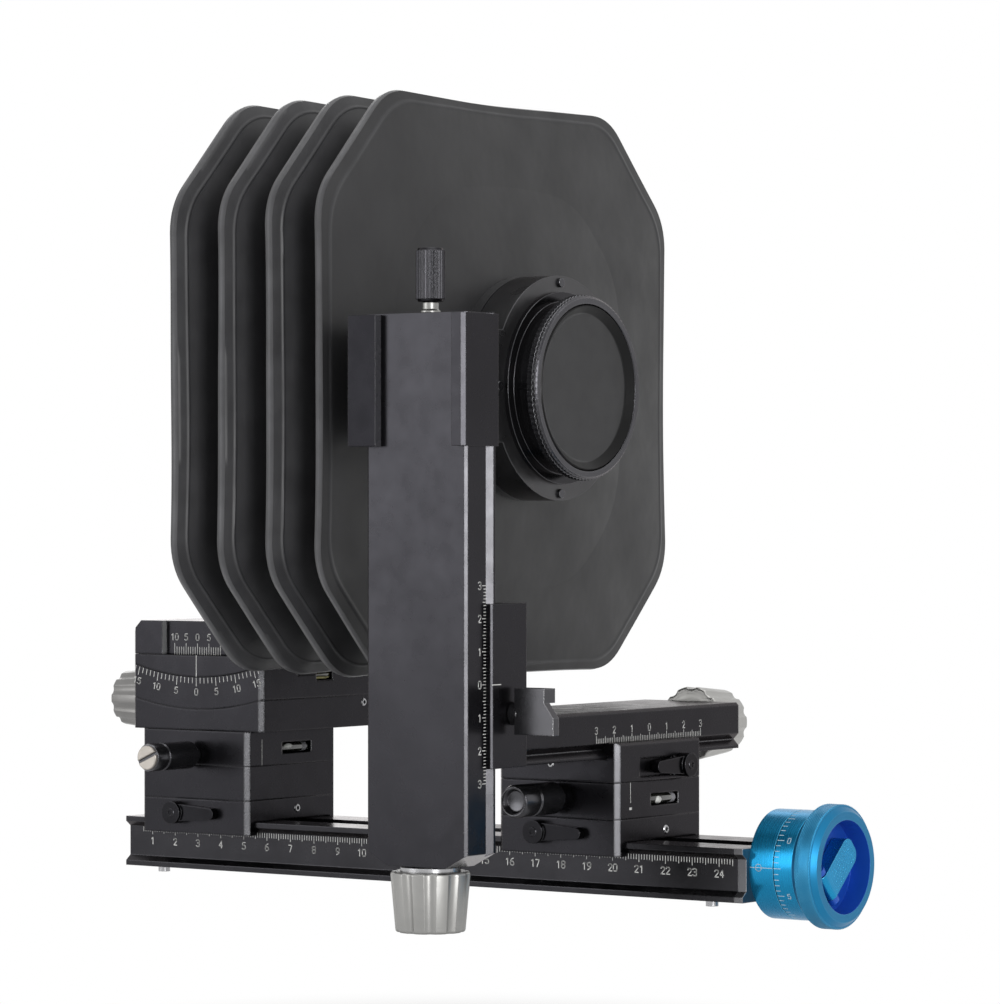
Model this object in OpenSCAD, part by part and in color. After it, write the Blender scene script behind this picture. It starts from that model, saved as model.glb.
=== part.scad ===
// Monorail view camera: a dovetail rail carries two standards that a pleated bellows joins.
// Millimetres, +Z up, +X towards the lens. The origin is the mouth of the tripod thread in
// the middle of the rail's underside, and the optical axis lies above it in the plane Y = 0.

/* [Rail] */
// Length of the rail extrusion
rail_len = 247; // [230:1:320]
// Width over the dovetail tips
rail_w = 42; // [38:0.5:46]
// Height of the rail
rail_h = 16.8; // [15.5:0.1:20]
// Height of a dovetail tip
rail_tip_h = 1.7; // [1.2:0.1:2.2]
// Height of the sloping flank beside a tip
rail_flank_h = 1.7; // [1.2:0.1:2.2]
// Depth of the waist behind the tips
rail_waist_in = 2.25; // [1.5:0.05:3]
// Width of the channel that the focusing screw lies in
channel_w = 13; // [12:0.5:16]
// Thickness of the floor under the channel
channel_floor = 5.6; // [4.5:0.1:6]
// Thickness of the front end plate
end_plate_t = 3; // [2:0.5:5]
// Radius of the tripod thread
tripod_r = 3.175; // [2.5:0.025:4]

/* [Base blocks] */
// Length of a base block along the rail
block_l = 46.4; // [42:0.2:50]
// Width of a base block across the rail
block_w = 48.4; // [46:0.2:56]
// Height of one layer of a base block
layer_h = 11.6; // [11:0.1:13]
// Depth to which a carriage reaches down over the rail
grip_depth = 4.4; // [3.6:0.1:5]
// Bevel on the upright edges of a block
block_bevel = 1.5; // [0.5:0.1:2.5]
// Place of the front standard's swing axis
front_x = 57.5; // [45:0.5:70]
// Place of the rear standard's swing axis
rear_x = -92.2; // [-96:0.2:-80]
// Radius of a swing pivot
pivot_r = 8; // [6:0.5:10]
// Depth of a swing pivot in its base
pivot_h = 5; // [3:0.5:7]

/* [Optical axis] */
// Height of the optical axis above the rail's underside
axis_z = 161.2; // [158:0.2:175]
// Radius of the round boss that carries the lens
boss_r = 36.5; // [34:0.5:38]
// Length of the round boss
boss_l = 11.6; // [9:0.2:14]
// Setback of the boss's front face behind the front swing axis
boss_back = 15.9; // [12:0.1:18]
// Radius of the light path through the lens mount and the rear frame
light_r = 22; // [18:0.5:25]

/* [Tilt] */
// Length of the tilt block along the rail
tilt_l = 56.7; // [50:0.1:58]
// Reach of the tilt block towards the column's side
tilt_y0 = 24.1; // [22:0.1:26]
// Reach of the tilt block to the far side
tilt_y1 = 38; // [30:0.5:44]
// Distance of the tilt axis in front of the swing axis
tilt_ahead = 0.9; // [0:0.1:3]
// Least thickness of the cradle under the arc
cradle_floor = 7; // [6:0.1:9]
// Thickness of the curved arc
arc_t = 10.8; // [10:0.1:12]
// Least thickness of the saddle over the arc
saddle_t = 7.4; // [6:0.1:9]
// Height of the cross slide block
slide_block_h = 11.4; // [9:0.1:13]

/* [Slides] */
// Width of the shift bar and the column
bar_w = 37.9; // [34:0.1:39]
// Thickness of the shift bar and the column
bar_t = 15; // [13.5:0.1:17]
// Height of the lip beside the clamping groove
bar_lip = 0.9; // [0.6:0.1:1.5]
// Width of the clamping groove
groove_w = 4; // [3:0.1:5]
// Depth of the clamping groove
groove_d = 1.9; // [1.2:0.1:2.4]
// Bevel on the outer edges of a bar
bar_bevel = 0.9; // [0.4:0.1:1.5]
// Width of the screw channel in a bar
slot_w = 9; // [8:0.2:11]
// Thickness of metal between the screw channel and a bar's broad face
slot_web = 3.5; // [2.5:0.1:5]
// Travel of the shift to each side
shift_travel = 28; // [20:1:32]
// Travel of the rise to each side
rise_travel = 30; // [20:1:32]
// Distance of the column's inner face from the optical axis
column_y = 84.4; // [82:0.2:96]
// Thickness of the floor of the shift clamp
clamp_floor = 7.4; // [6:0.1:9]
// Height of the column clamp
column_clamp_h = 50; // [40:0.5:52]
// Thickness of the column clamp behind the column
column_clamp_t = 13.3; // [11:0.1:16]
// Thickness of a column clamp's jaw beside the column
jaw_t = 2.1; // [1.6:0.1:3]

/* [Lens carriage] */
// Height of the lens carriage
carriage_h = 40.2; // [34:0.2:50]
// Thickness of its lips over the column's broad face
lip_t = 3; // [2:0.1:4]
// Thickness of its wall on the lens side
near_wall = 1.2; // [0.8:0.1:2]
// Thickness of its wall on the bellows side
far_wall = 4.8; // [3:0.1:5.5]
// Reach of the wide lip over the broad face
wide_lip = 5.7; // [4:0.1:9]
// Reach of the narrow lip over the broad face
narrow_lip = 3.4; // [2.5:0.1:5]
// Thickness of its back web
web_t = 6.2; // [4:0.1:8]

/* [Knobs] */
// Radius of the focusing screw
screw_r = 3; // [2.5:0.1:3.5]
// Height of the focusing screw's axis above the rail's underside
screw_z = 11; // [10:0.1:12]
// Radius of the focusing drum
drum_r = 17.2; // [15:0.1:19]
// Length of the fixed index drum
drum_l = 8.6; // [6:0.1:12]
// Length of the turning dial
dial_l = 6.6; // [5:0.1:9]
// Radius of the knurled focusing knob
focus_r = 19.2; // [17:0.1:22]
// Length of the focusing knob
focus_l = 9.1; // [8:0.1:14]
// Radius of the dish in the focusing knob
dish_r = 14.6; // [12:0.1:16]
// Depth of the dish
dish_d = 7; // [5:0.1:7.5]
// Width of the folding crank in the dish
crank_w = 9.4; // [7:0.1:10]
// Length of the folding crank
crank_l = 20; // [16:0.1:21]
// Thickness of the folding crank
crank_t = 4.9; // [4:0.1:5.5]
// Lean of the folding crank from the horizontal, in degrees
crank_lean = 42; // [0:1:90]
// Radius of a silver knob at its wide end
knob_r = 12.25; // [10:0.05:13]
// Radius of a silver knob at its narrow end
knob_tip_r = 10.75; // [9:0.05:11.5]
// Length of a silver knob
knob_l = 18.5; // [14:0.5:22]
// Number of flutes round a silver knob
flutes = 10; // [6:1:12]
// Radius of the tilt knob at its wide end
tilt_knob_r = 10.9; // [9:0.05:11.5]
// Radius of the shift and rise screws
lead_r = 2.5; // [2:0.1:3]
// Radius of the rear swing lock knob
rear_lock_r = 4.65; // [4:0.05:5.4]
// Radius of the front swing lock knob
front_lock_r = 5.2; // [4:0.05:5.4]
// Length of a swing lock knob
lock_l = 21.5; // [14:0.5:26]
// Radius of the knob on top of the lens carriage
top_knob_r = 4.5; // [3.5:0.1:6]
// Length of the knob on top of the lens carriage
top_knob_l = 16.3; // [10:0.1:20]
// Length of a lock lever from its boss to its tip
lever_l = 17.5; // [13:0.5:18]
// Radius of a lock lever's boss
lever_r = 3.8; // [3:0.1:4.4]

/* [Lens mount] */
// Radius of the neck's flange
flange_r = 31.2; // [30:0.1:31.8]
// Thickness of the neck's flange
flange_t = 1.6; // [1:0.1:3]
// Radius of the neck
neck_r = 28; // [26.5:0.1:28.5]
// Length of the neck in front of its flange
neck_l = 7.1; // [5:0.1:9]
// Radius of the knurled locking ring
ring_r = 30; // [29:0.1:32]
// Length of the knurled locking ring
ring_l = 4; // [3:0.1:5]
// Radius of the dust cap
cap_r = 26.9; // [25:0.1:27.5]
// Radius on which the four boss screws stand
boss_screw_pcr = 34.2; // [33.4:0.1:34.6]

/* [Bellows] */
// Number of outer folds
folds = 4; // [3:1:6]
// Half the width over an outer fold
fold_y = 96.3; // [90:0.1:104]
// Half the height over an outer fold
fold_z = 93.3; // [86:0.1:95]
// Cut of each corner of an outer fold
fold_cut = 34; // [26:0.5:40]
// Narrowing of each fold behind the front one
fold_taper = 0.5; // [0:0.1:1.5]
// Depth of a fold
fold_depth = 26; // [16:0.5:30]
// Thickness of the bellows material
skin_t = 1; // [0.8:0.1:1.4]
// Half the length of the flat band on a fold's edge
fold_band = 1.4; // [1:0.1:2]

/* [Hidden] */
$fn = 64;

// Clearances: flat slides, running fits on a radius, curved slides and the gap beside a turning face
slide_gap = 0.12;
run_gap = 0.05;
arc_gap = 0.15;
face_gap = 0.3;
over = 1;

// Depth of a knurled knob's core below the roots of its teeth
core_in = 0.06;

// Rail and focusing screw
rail_x0 = -(rail_len + end_plate_t) / 2;
rail_x1 = rail_x0 + rail_len;
drum_x = rail_x1 + end_plate_t;
dial_x = drum_x + drum_l + face_gap;
focus_x = dial_x + dial_l;
bearing_l = 8;
nut_l = 16;
nut_wall = 1.3;
stop_pin_r = 2;
stop_pin_h = 2;
stop_pin_in = 12;
stop_pin_y = 15;
crank_gap = 0.5;
crank_pin_r = 1;
crank_pin_u = crank_t / 2 - crank_l / 2 - 0.35;
crank_pin_w = focus_l - dish_d + crank_gap + crank_t / 2;
crank_ear_t = 2;
crank_ear_r = 2.2;

// Heights of the layers
base_z = rail_h - grip_depth;
layer1_z = base_z + layer_h;
layer2_z = layer1_z + layer_h;
layer3_z = layer2_z + layer_h;
clamp_z = layer2_z + slide_gap;
bar_z = clamp_z + clamp_floor + slide_gap;
shift_z = bar_z + bar_t / 2;

// Tilt stage, whose arcs are round the optical axis
tilt_x = rear_x + tilt_ahead;
cradle_z = layer3_z + slide_gap;
arc_r1 = axis_z - cradle_z - cradle_floor;
arc_r0 = arc_r1 - arc_t;
saddle_top = axis_z - arc_r0 + saddle_t;
cross_z = saddle_top + slide_gap;
cross_top = cross_z + slide_block_h;
keel_neck_w = 6;
keel_head_w = 9.6;
keel_neck_d = 2;
keel_head_d = 1.2;
keel_r = arc_r0 + keel_neck_d + keel_head_d;
worm_r = 5.4;
worm_l = 14;
worm_z = axis_z - keel_r - worm_r - 2 * arc_gap;
worm_shaft_r = 2.5;
tail_w = 24;
tail_h = 3.8;
tail_flare = 2.2;
tilt_knob_gap = 4;

// Rear standard
upright_t = 7;
upright_drop = 37;
upright_top = axis_z - upright_drop;
foot_t = 5;
frame_t = 5;
frame_half = 58;
frame_cut = 16;
frame_x1 = tilt_x + tilt_l / 2 + 2;
frame_x0 = frame_x1 - frame_t;
upright_x0 = frame_x0 - upright_t;
foot_l = 19;
camera_ring_r = 32;
camera_ring_l = 9;
rear_rim = 44;
rear_rim_cut = 16;
rim_t = 4;
rim_wall = 5;
frame_bore_r = light_r + 6;
camera_ring_step = 3;

// Shift bar and column
bar_y0 = -column_y + slide_gap + column_clamp_t;
bar_y1 = block_w / 2 + shift_travel + 0.8;
column_z0 = bar_z - rise_travel;
column_top = axis_z + carriage_h / 2 + face_gap;
bar_mid = bar_t / 2;
slot_d = bar_t - slot_web;
clamp_half = bar_w / 2 + slide_gap + jaw_t;
rise_y = -column_y - bar_mid;
nut_r = slot_w / 2 - 0.2;
nut_h = 16;
clamp_mid = bar_z + column_clamp_h / 2;
collar_t = 1.3;

// Lens mount
boss_x1 = front_x - boss_back;
boss_x0 = boss_x1 - boss_l;
ring_hold = 1.2;
neck_x1 = boss_x1 + flange_t + neck_l;
ring_x0 = neck_x1 - ring_hold;
ring_x1 = ring_x0 + ring_l;
front_rim_r = boss_r - 2.2;
front_rim_t = 4;

// Bellows
collar_gap = 0.4;
front_wall_l = 12.8;
rear_wall_l = 18.7;
front_fold_x = boss_x0 - front_wall_l;
rear_fold_x = frame_x1 + rear_wall_l;
fold_pitch = (front_fold_x - rear_fold_x) / (folds - 1);
fold_round = 9;
rim_round = 1.2;
fold_sag = 0.8;
bevel_share = 2 - sqrt(2);

// Levers, lock knobs and levels
lever_pin_r = 1.6;
lever_pin_l = 2.2;
lever_z = base_z + 0.6 * layer_h;
lever_in = 7;
lock_stud_r = 2.5;
lock_stud_end = pivot_r + 1;
lock_collar_l = 2.4;
rear_lock_z = layer2_z + 0.3 * layer_h;
front_lock_z = layer1_z + 0.55 * layer_h;
vial_r = 2.2;
vial_l = 16;
vial_y = 2.4;
tilt_vial_y = 10;
tilt_vial_l = 9;
tilt_vial_z = axis_z - arc_r0 + 0.6;
worm_reach = tilt_l / 2 + worm_l / 2;
cross_bevel = 4;
cross_jaw = 13.5;
cross_recess = 2;
cross_knob_r = 4.2;
cross_knob_l = 12;

// Clamps, levers and the column's ends
shift_lever_y = 12;
shift_lever_z = clamp_z + 4.2;
clamp_top = bar_lip + groove_w;
clamp_recess_y = [-11.7, 8];
clamp_recess_z = [1.2, 7.2];
clamp_recess_d = 1.2;
wing_l = 17.2;
wing_short = 3.4;
wing_t = 3;
wing_top_t = 5.9;
wing_face_y = 3.5;
wing_z0 = -6.3;
wing_z1 = 7.9;
wing_slant_z0 = -1;
wing_slant_z1 = 3.5;
wing_y = -column_y + column_clamp_t * 0.48;
wing_up = 16.5;
wing_z = bar_z + wing_up;
wing_boss_r = 3.6;
foot_cut_x = 8;
foot_cut_z = 4.2;
plug_l = 12;
carriage_bevel = 1.2;
top_stud_r = 2;
top_stud_l = 3.7;
wing_base_h = 3;
collar_in = 3;
nut_side_gap = 0.4;

// Lens arm, screws and ring
arm_z = 18;
pad_t = 7;
boss_screw_r = 0.8;
boss_screw_l = 5;
boss_screw_head_r = 1.5;
ring_groove = 0.5;
ring_groove_in = 0.8;
boss_screw_head_h = 0.9;
boss_bore_r = light_r + 4;
pad_short = 12;
cap_step = 1.7;
cap_slope = 3.2;
cap_edge = 0.6;

// A block centred in plan with its four upright edges bevelled
module block(l, w, h, bevel) {
    a = l / 2;
    b = w / 2;
    linear_extrude(h)
        polygon([[a - bevel, -b], [a, -b + bevel], [a, b - bevel], [a - bevel, b],
                 [-a + bevel, b], [-a, b - bevel], [-a, -b + bevel], [-a + bevel, -b]]);
}

// A cylinder along X, Y or Z from a starting point
module rod_x(x, len, r, y = 0, z = 0) {
    translate([x, y, z]) rotate([0, 90, 0]) cylinder(h = len, r = r);
}

module rod_y(y, len, r, x = 0, z = 0) {
    translate([x, y + len, z]) rotate([90, 0, 0]) cylinder(h = len, r = r);
}

module rod_z(z, len, r, x = 0, y = 0) {
    translate([x, y, z]) cylinder(h = len, r = r);
}

// A box from its low corner to its high corner
module span(low, high) {
    translate(low) cube(high - low);
}

// Straight knurling: a toothed outline with plain bevelled ends, along Z
module knurled(r, len, teeth, depth, rim) {
    core = r - depth - core_in;
    rotate_extrude()
        polygon([[0, 0], [r - rim, 0], [core, rim], [core, len - rim], [r - rim, len], [0, len]]);
    translate([0, 0, rim])
        linear_extrude(len - 2 * rim)
            polygon([for (i = [0 : 2 * teeth - 1])
                let (rr = r - depth * (i % 2), a = 180 * i / teeth) [rr * cos(a), rr * sin(a)]]);
}

// A tapered silver knob with shallow flutes, its wide end at the origin, along Z
module fluted_knob(wide, narrow, len) {
    flute_r = 1.9;
    flute_depth = 0.7;
    bevel = 0.8;
    lean = atan((wide - narrow) / len);
    difference() {
        rotate_extrude()
            polygon([[0, 0], [wide - bevel, 0], [wide, bevel], [narrow, len - bevel],
                     [narrow - bevel, len], [0, len]]);
        for (i = [0 : flutes - 1])
            rotate([0, 0, 360 * (i + 0.5) / flutes])
                translate([wide + flute_r - flute_depth, 0, 0])
                    rotate([0, -lean, 0])
                        translate([0, 0, -len])
                            cylinder(h = 3 * len, r = flute_r, $fn = 32);
    }
}

// A lock lever lying on a face: boss, tapering arm and pin, with the face at Z = 0 and the arm along X
module lock_lever(pin_r, pin_l) {
    arm_h = 2.6;
    boss_h = 3.8;
    tip_r = 1.9;
    arm_share = 0.8;
    translate([0, 0, face_gap]) {
        cylinder(h = boss_h, r = lever_r);
        translate([lever_l - tip_r, 0, 0]) cylinder(h = arm_h, r = tip_r);
        linear_extrude(arm_h)
            polygon([[0, -lever_r * arm_share], [lever_l - tip_r, -tip_r],
                     [lever_l - tip_r, tip_r], [0, lever_r * arm_share]]);
    }
    translate([0, 0, -pin_l]) cylinder(h = pin_l + face_gap, r = pin_r);
}

// Face frames: the first lies on the column's side of a block, the second on its lens side
module on_side(x, y, z) {
    translate([x, y, z]) rotate([90, 0, 0]) children();
}

module on_front(x, y, z) {
    translate([x, y, z]) rotate([90, 0, 90]) children();
}

// Outline of the rail's section across Y and Z, grown by a clearance
function rail_half(g) = [
    [rail_w / 2 + g, -g], [rail_w / 2 + g, rail_tip_h + g / 2],
    [rail_w / 2 - rail_waist_in + g, rail_tip_h + rail_flank_h],
    [rail_w / 2 - rail_waist_in + g, rail_h - rail_tip_h - rail_flank_h],
    [rail_w / 2 + g, rail_h - rail_tip_h - g / 2], [rail_w / 2 + g, rail_h + g]];

function mirrored(pts) = concat(pts, [for (i = [len(pts) - 1 : -1 : 0]) [-pts[i][0], pts[i][1]]]);

module rail_section(g = 0) {
    polygon(mirrored(rail_half(g)));
}

// A section drawn across Y and Z, run along X
module along_x(x0, x1) {
    translate([x0, 0, 0]) rotate([90, 0, 90]) linear_extrude(x1 - x0) children();
}

// Outline of a bar's section: the grooved and slotted side lies at 0, the broad face at bar_t
function bar_half() = [
    [bar_w / 2, 0], [bar_w / 2, bar_lip], [bar_w / 2 - groove_d, bar_lip + groove_w / 2],
    [bar_w / 2, bar_lip + groove_w], [bar_w / 2, bar_t - bar_bevel], [bar_w / 2 - bar_bevel, bar_t]];

module bar_section() {
    difference() {
        polygon(mirrored(bar_half()));
        translate([-slot_w / 2, -over]) square([slot_w, slot_d + over]);
    }
}

// Outline of a clamp that wraps a bar's grooves, with its floor under the bar
module clamp_section(half, floor_t, top, bevel) {
    g = slide_gap;
    w = bar_w / 2;
    polygon(mirrored([
        [half, -floor_t - g], [half, top - bevel], [half - bevel, top], [w + g, top],
        [w + g, bar_lip + groove_w], [w + g - groove_d, bar_lip + groove_w / 2], [w + g, bar_lip],
        [w + g, -g]]));
}

/* Rail and focusing drive */

module rail() {
    color("#2b2b2e")
        difference() {
            along_x(rail_x0, rail_x1) rail_section();
            span([rail_x0 - over, -channel_w / 2, channel_floor],
                 [rail_x1 + over, channel_w / 2, rail_h + over]);
            rod_z(-over, channel_floor + 2 * over, tripod_r);
        }
}

module rail_end_plate() {
    color("#8d8d90")
        difference() {
            along_x(rail_x1, drum_x) rail_section();
            rod_x(rail_x1 - over, end_plate_t + 2 * over, screw_r + run_gap, 0, screw_z);
        }
}

module rail_stop_pins() {
    color("#4a4a4c")
        for (x = [rail_x0 + stop_pin_in, rail_x1 - stop_pin_in], y = [-stop_pin_y, stop_pin_y])
            rod_z(-stop_pin_h, stop_pin_h, stop_pin_r, x, y);
}

module screw_bearing() {
    color("#2b2b2e")
        difference() {
            span([rail_x0, -channel_w / 2, channel_floor],
                 [rail_x0 + bearing_l, channel_w / 2, rail_h - slide_gap]);
            rod_x(rail_x0 - over, bearing_l + 2 * over, screw_r + run_gap, 0, screw_z);
        }
}

module focus_drum() {
    color("#1f78b4")
        difference() {
            rod_x(drum_x, drum_l, drum_r, 0, screw_z);
            rod_x(drum_x - over, drum_l + 2 * over, screw_r + run_gap, 0, screw_z);
        }
}

module focus_screw() {
    color("#9a9a9e")
        rod_x(rail_x0 + over, focus_x - rail_x0 - over + focus_l - dish_d - over, screw_r, 0, screw_z);
}

module focus_dial() {
    color("#1f78b4")
        difference() {
            rod_x(dial_x, dial_l, drum_r, 0, screw_z);
            rod_x(dial_x - over, dial_l + 2 * over, screw_r, 0, screw_z);
        }
}

// The focusing knob's own frame: Z along its axis away from the rail
module on_focus_knob() {
    translate([focus_x, 0, screw_z]) rotate([90, 0, 90]) children();
}

// The folded crank's frame in the knob: X along the crank, its pin at the origin along Y
module on_crank_pin() {
    rotate([0, 0, crank_lean]) translate([crank_pin_u, 0, crank_pin_w]) children();
}

// Dished knob with a knurled rim and two ears that hold the crank's pin
module focus_knob() {
    teeth = 48;
    depth = 0.4;
    lead_in = 2;
    bevel = 1.6;
    ear_y = crank_w / 2 + face_gap;
    color("#1f78b4")
        on_focus_knob()
            difference() {
                union() {
                    rotate_extrude()
                        polygon([[0, 0], [drum_r, 0], [focus_r - depth, lead_in],
                                 [focus_r - depth, focus_l - bevel],
                                 [focus_r - depth - bevel, focus_l], [dish_r, focus_l],
                                 [dish_r, focus_l - dish_d], [0, focus_l - dish_d]]);
                    translate([0, 0, lead_in])
                        linear_extrude(focus_l - lead_in - bevel)
                            difference() {
                                polygon([for (i = [0 : 2 * teeth - 1])
                                    let (rr = focus_r - depth * (i % 2), a = 180 * i / teeth)
                                        [rr * cos(a), rr * sin(a)]]);
                                circle(r = dish_r + over);
                            }
                    on_crank_pin()
                        for (y = [-ear_y - crank_ear_t, ear_y]) {
                            rod_y(y, crank_ear_t, crank_ear_r);
                            span([-crank_ear_r, y, -crank_t / 2 - crank_gap - over],
                                 [crank_ear_r, y + crank_ear_t, 0]);
                        }
                }
                translate([0, 0, -over]) cylinder(h = focus_l - dish_d, r = screw_r);
                on_crank_pin()
                    rod_y(-ear_y - crank_ear_t - over, 2 * (ear_y + crank_ear_t + over),
                          crank_pin_r + run_gap);
            }
}

// The crank folded into the dish, round at its pin and at its free end
module focus_crank() {
    end_r = 3.4;
    half = crank_w / 2;
    reach = crank_l - crank_t / 2;
    color("#1f78b4")
        on_focus_knob()
            on_crank_pin() {
                rod_y(-half, crank_w, crank_t / 2);
                translate([0, 0, -crank_t / 2])
                    linear_extrude(crank_t) {
                        translate([0, -half]) square([reach - end_r, crank_w]);
                        translate([0, end_r - half]) square([reach, crank_w - 2 * end_r]);
                        for (y = [end_r - half, half - end_r])
                            translate([reach - end_r, y]) circle(r = end_r);
                    }
                rod_y(-half - face_gap - crank_ear_t, crank_w + 2 * (face_gap + crank_ear_t), crank_pin_r);
            }
}

/* Rear standard */

// A block that grips the rail's top dovetail and slides on it
module carriage_block(x) {
    difference() {
        translate([x, 0, base_z]) block(block_l, block_w, layer_h, block_bevel);
        along_x(x - block_l, x + block_l) rail_section(slide_gap);
    }
}

// Bore for the pin of a lock lever on the column's side of a block

module side_lever_bore(x) {
    on_side(x, -block_w / 2, lever_z)
        translate([0, 0, -lever_pin_l - face_gap])
            cylinder(h = lever_pin_l + over, r = lever_pin_r + run_gap);
}

module rear_carriage() {
    color("#26262a")
        difference() {
            carriage_block(rear_x);
            side_lever_bore(rear_x - lever_in);
        }
}

module rear_riser() {
    color("#26262a")
        translate([rear_x, 0, layer1_z]) block(block_l, block_w, layer_h, block_bevel);
}

// A swing base: pivot bore from above, lock stud bore from the column's side, vial slot on the lens side
module swing_base(x, z, lock_z) {
    difference() {
        translate([x, 0, z]) block(block_l, block_w, layer_h, block_bevel);
        rod_z(z + layer_h - pivot_h - face_gap, pivot_h + over, pivot_r + run_gap, x);
        rod_y(-block_w / 2 - over, block_w / 2 - lock_stud_end + over + face_gap, lock_stud_r + run_gap,
              x, lock_z);
        rod_y(vial_y - vial_l / 2, vial_l, vial_r, x + block_l / 2 - vial_r / 2, z + 0.48 * layer_h);
    }
}

module rear_swing_base() {
    color("#26262a") swing_base(rear_x, layer2_z, rear_lock_z);
}

module vial(x, z) {
    rod_y(vial_y - vial_l / 2, vial_l, vial_r, x + block_l / 2 - vial_r / 2, z + 0.48 * layer_h);
}

module rear_level_vial() {
    color("#d8d8c8") vial(rear_x, layer2_z);
}

module rear_carriage_lever() {
    color("#3a3a3e")
        on_side(rear_x - lever_in, -block_w / 2, lever_z) lock_lever(lever_pin_r, lever_pin_l);
}

// A knurled lock knob on the column's side with its collar and stud
module lock_knob(x, z, r) {
    on_side(x, -block_w / 2 - face_gap, z) {
        cylinder(h = lock_collar_l, r = 0.7 * r);
        translate([0, 0, lock_collar_l]) knurled(r, lock_l, 30, 0.35, 0.9);
        translate([0, 0, lock_stud_end - block_w / 2 + face_gap])
            cylinder(h = block_w / 2 - lock_stud_end - face_gap, r = lock_stud_r);
    }
}

module rear_swing_knob() {
    color("#3a3a3e") lock_knob(rear_x, rear_lock_z, rear_lock_r);
}

// The tilt block's outline in plan, before the arcs are cut
module tilt_plan(z0, z1) {
    c = (tilt_y1 - tilt_y0) / 2;
    translate([tilt_x, c, z0]) block(tilt_l, tilt_y0 + tilt_y1, z1 - z0, block_bevel);
}

// A cylinder round the tilt axis
module round_axis(r) {
    rod_y(-tilt_y0 - over, tilt_y0 + tilt_y1 + 2 * over, r, tilt_x, axis_z, $fn = 256);
}

// Space for the worm and its shaft
module worm_bore() {
    rod_x(tilt_x - tilt_l / 2 - over, worm_reach + over + face_gap, worm_shaft_r + run_gap, 0, worm_z);
    rod_x(tilt_x - worm_l / 2 - face_gap, worm_l + 2 * face_gap, worm_r + arc_gap, 0, worm_z);
}

module tilt_cradle() {
    color("#26262a") {
        difference() {
            tilt_plan(cradle_z, axis_z - arc_r1 + layer_h);
            round_axis(arc_r1);
            worm_bore();
        }
        rod_z(cradle_z - slide_gap - pivot_h, pivot_h + slide_gap, pivot_r, rear_x);
    }
}

// The curved keel that holds the saddle to the arc, grown by a clearance
module keel(g) {
    reach = tilt_l / 2 + 2 * g;
    intersection() {
        difference() {
            round_axis(keel_r + g);
            round_axis(arc_r0 - over);
        }
        union() {
            span([tilt_x - reach, -keel_neck_w / 2 - g, 0], [tilt_x + reach, keel_neck_w / 2 + g, axis_z]);
            difference() {
                span([tilt_x - reach, -keel_head_w / 2 - g, 0],
                     [tilt_x + reach, keel_head_w / 2 + g, axis_z]);
                round_axis(arc_r0 + keel_neck_d - g);
            }
        }
    }
}

module tilt_vial_rod(r) {
    rod_y(tilt_vial_y - tilt_vial_l / 2, tilt_vial_l, r, tilt_x + tilt_l / 2 - vial_r / 2, tilt_vial_z);
}

module tilt_arc() {
    color("#26262a")
        difference() {
            intersection() {
                tilt_plan(cradle_z, axis_z - arc_r0 + layer_h);
                difference() {
                    round_axis(arc_r1);
                    round_axis(arc_r0);
                }
            }
            keel(arc_gap);
            worm_bore();
            tilt_vial_rod(vial_r);
        }
}

module tilt_level_vial() {
    color("#c9d24a") tilt_vial_rod(vial_r);
}

module tilt_worm() {
    color("#9a9a9e") {
        rod_x(tilt_x - tilt_l / 2 - tilt_knob_gap, worm_reach + tilt_knob_gap, worm_shaft_r, 0, worm_z);
        rod_x(tilt_x - worm_l / 2, worm_l, worm_r, 0, worm_z);
    }
}

module tilt_knob() {
    color("#c9c9cc")
        translate([tilt_x - tilt_l / 2 - tilt_knob_gap, 0, worm_z])
            rotate([0, -90, 0])
                fluted_knob(tilt_knob_r, tilt_knob_r - (knob_r - knob_tip_r), knob_l);
}

// Outline of the dovetail between the saddle and the cross slide
module tail_section(g) {
    w = tail_w / 2 + g;
    polygon(mirrored([[w, -over], [w, 0], [w + tail_flare, tail_h + g]]));
}

module tilt_saddle() {
    color("#26262a") {
        difference() {
            tilt_plan(cradle_z, saddle_top);
            round_axis_outside();
        }
        keel(0);
        along_x(tilt_x - tilt_l / 2, tilt_x + tilt_l / 2)
            translate([0, saddle_top]) tail_section(0);
    }
}

// Everything below the saddle's curved underside
module round_axis_outside() {
    difference() {
        span([tilt_x - tilt_l, -tilt_y0 - over, 0], [tilt_x + tilt_l, tilt_y1 + over, axis_z]);
        round_axis(arc_r0 - arc_gap);
    }
}

module cross_slide() {
    x0 = tilt_x - tilt_l / 2;
    x1 = tilt_x + tilt_l / 2;
    color("#26262a")
        difference() {
            tilt_plan(cross_z, cross_top);
            along_x(x0 - over, x1 + over) translate([0, saddle_top]) tail_section(slide_gap);
            span([x0 + cross_jaw, -tilt_y0 - over, cross_z - over],
                 [x1 + over, -tilt_y0 + cross_recess, cross_top + over]);
            translate([x0, 0, cross_top])
                rotate([0, 45, 0])
                    cube([cross_bevel * sqrt(2), 4 * tilt_y1, cross_bevel * sqrt(2)], center = true);
            rod_y(tilt_y1 - cross_knob_l, cross_knob_l + over, lock_stud_r + run_gap, tilt_x,
                  cross_z + slide_block_h / 2);
        }
}

module cross_slide_knob() {
    color("#3a3a3e")
        translate([tilt_x, tilt_y1 + face_gap, cross_z + slide_block_h / 2])
            rotate([-90, 0, 0]) {
                knurled(cross_knob_r, cross_knob_l, 24, 0.3, 0.8);
                translate([0, 0, -cross_knob_l + face_gap])
                    cylinder(h = cross_knob_l - face_gap, r = lock_stud_r);
            }
}

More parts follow.
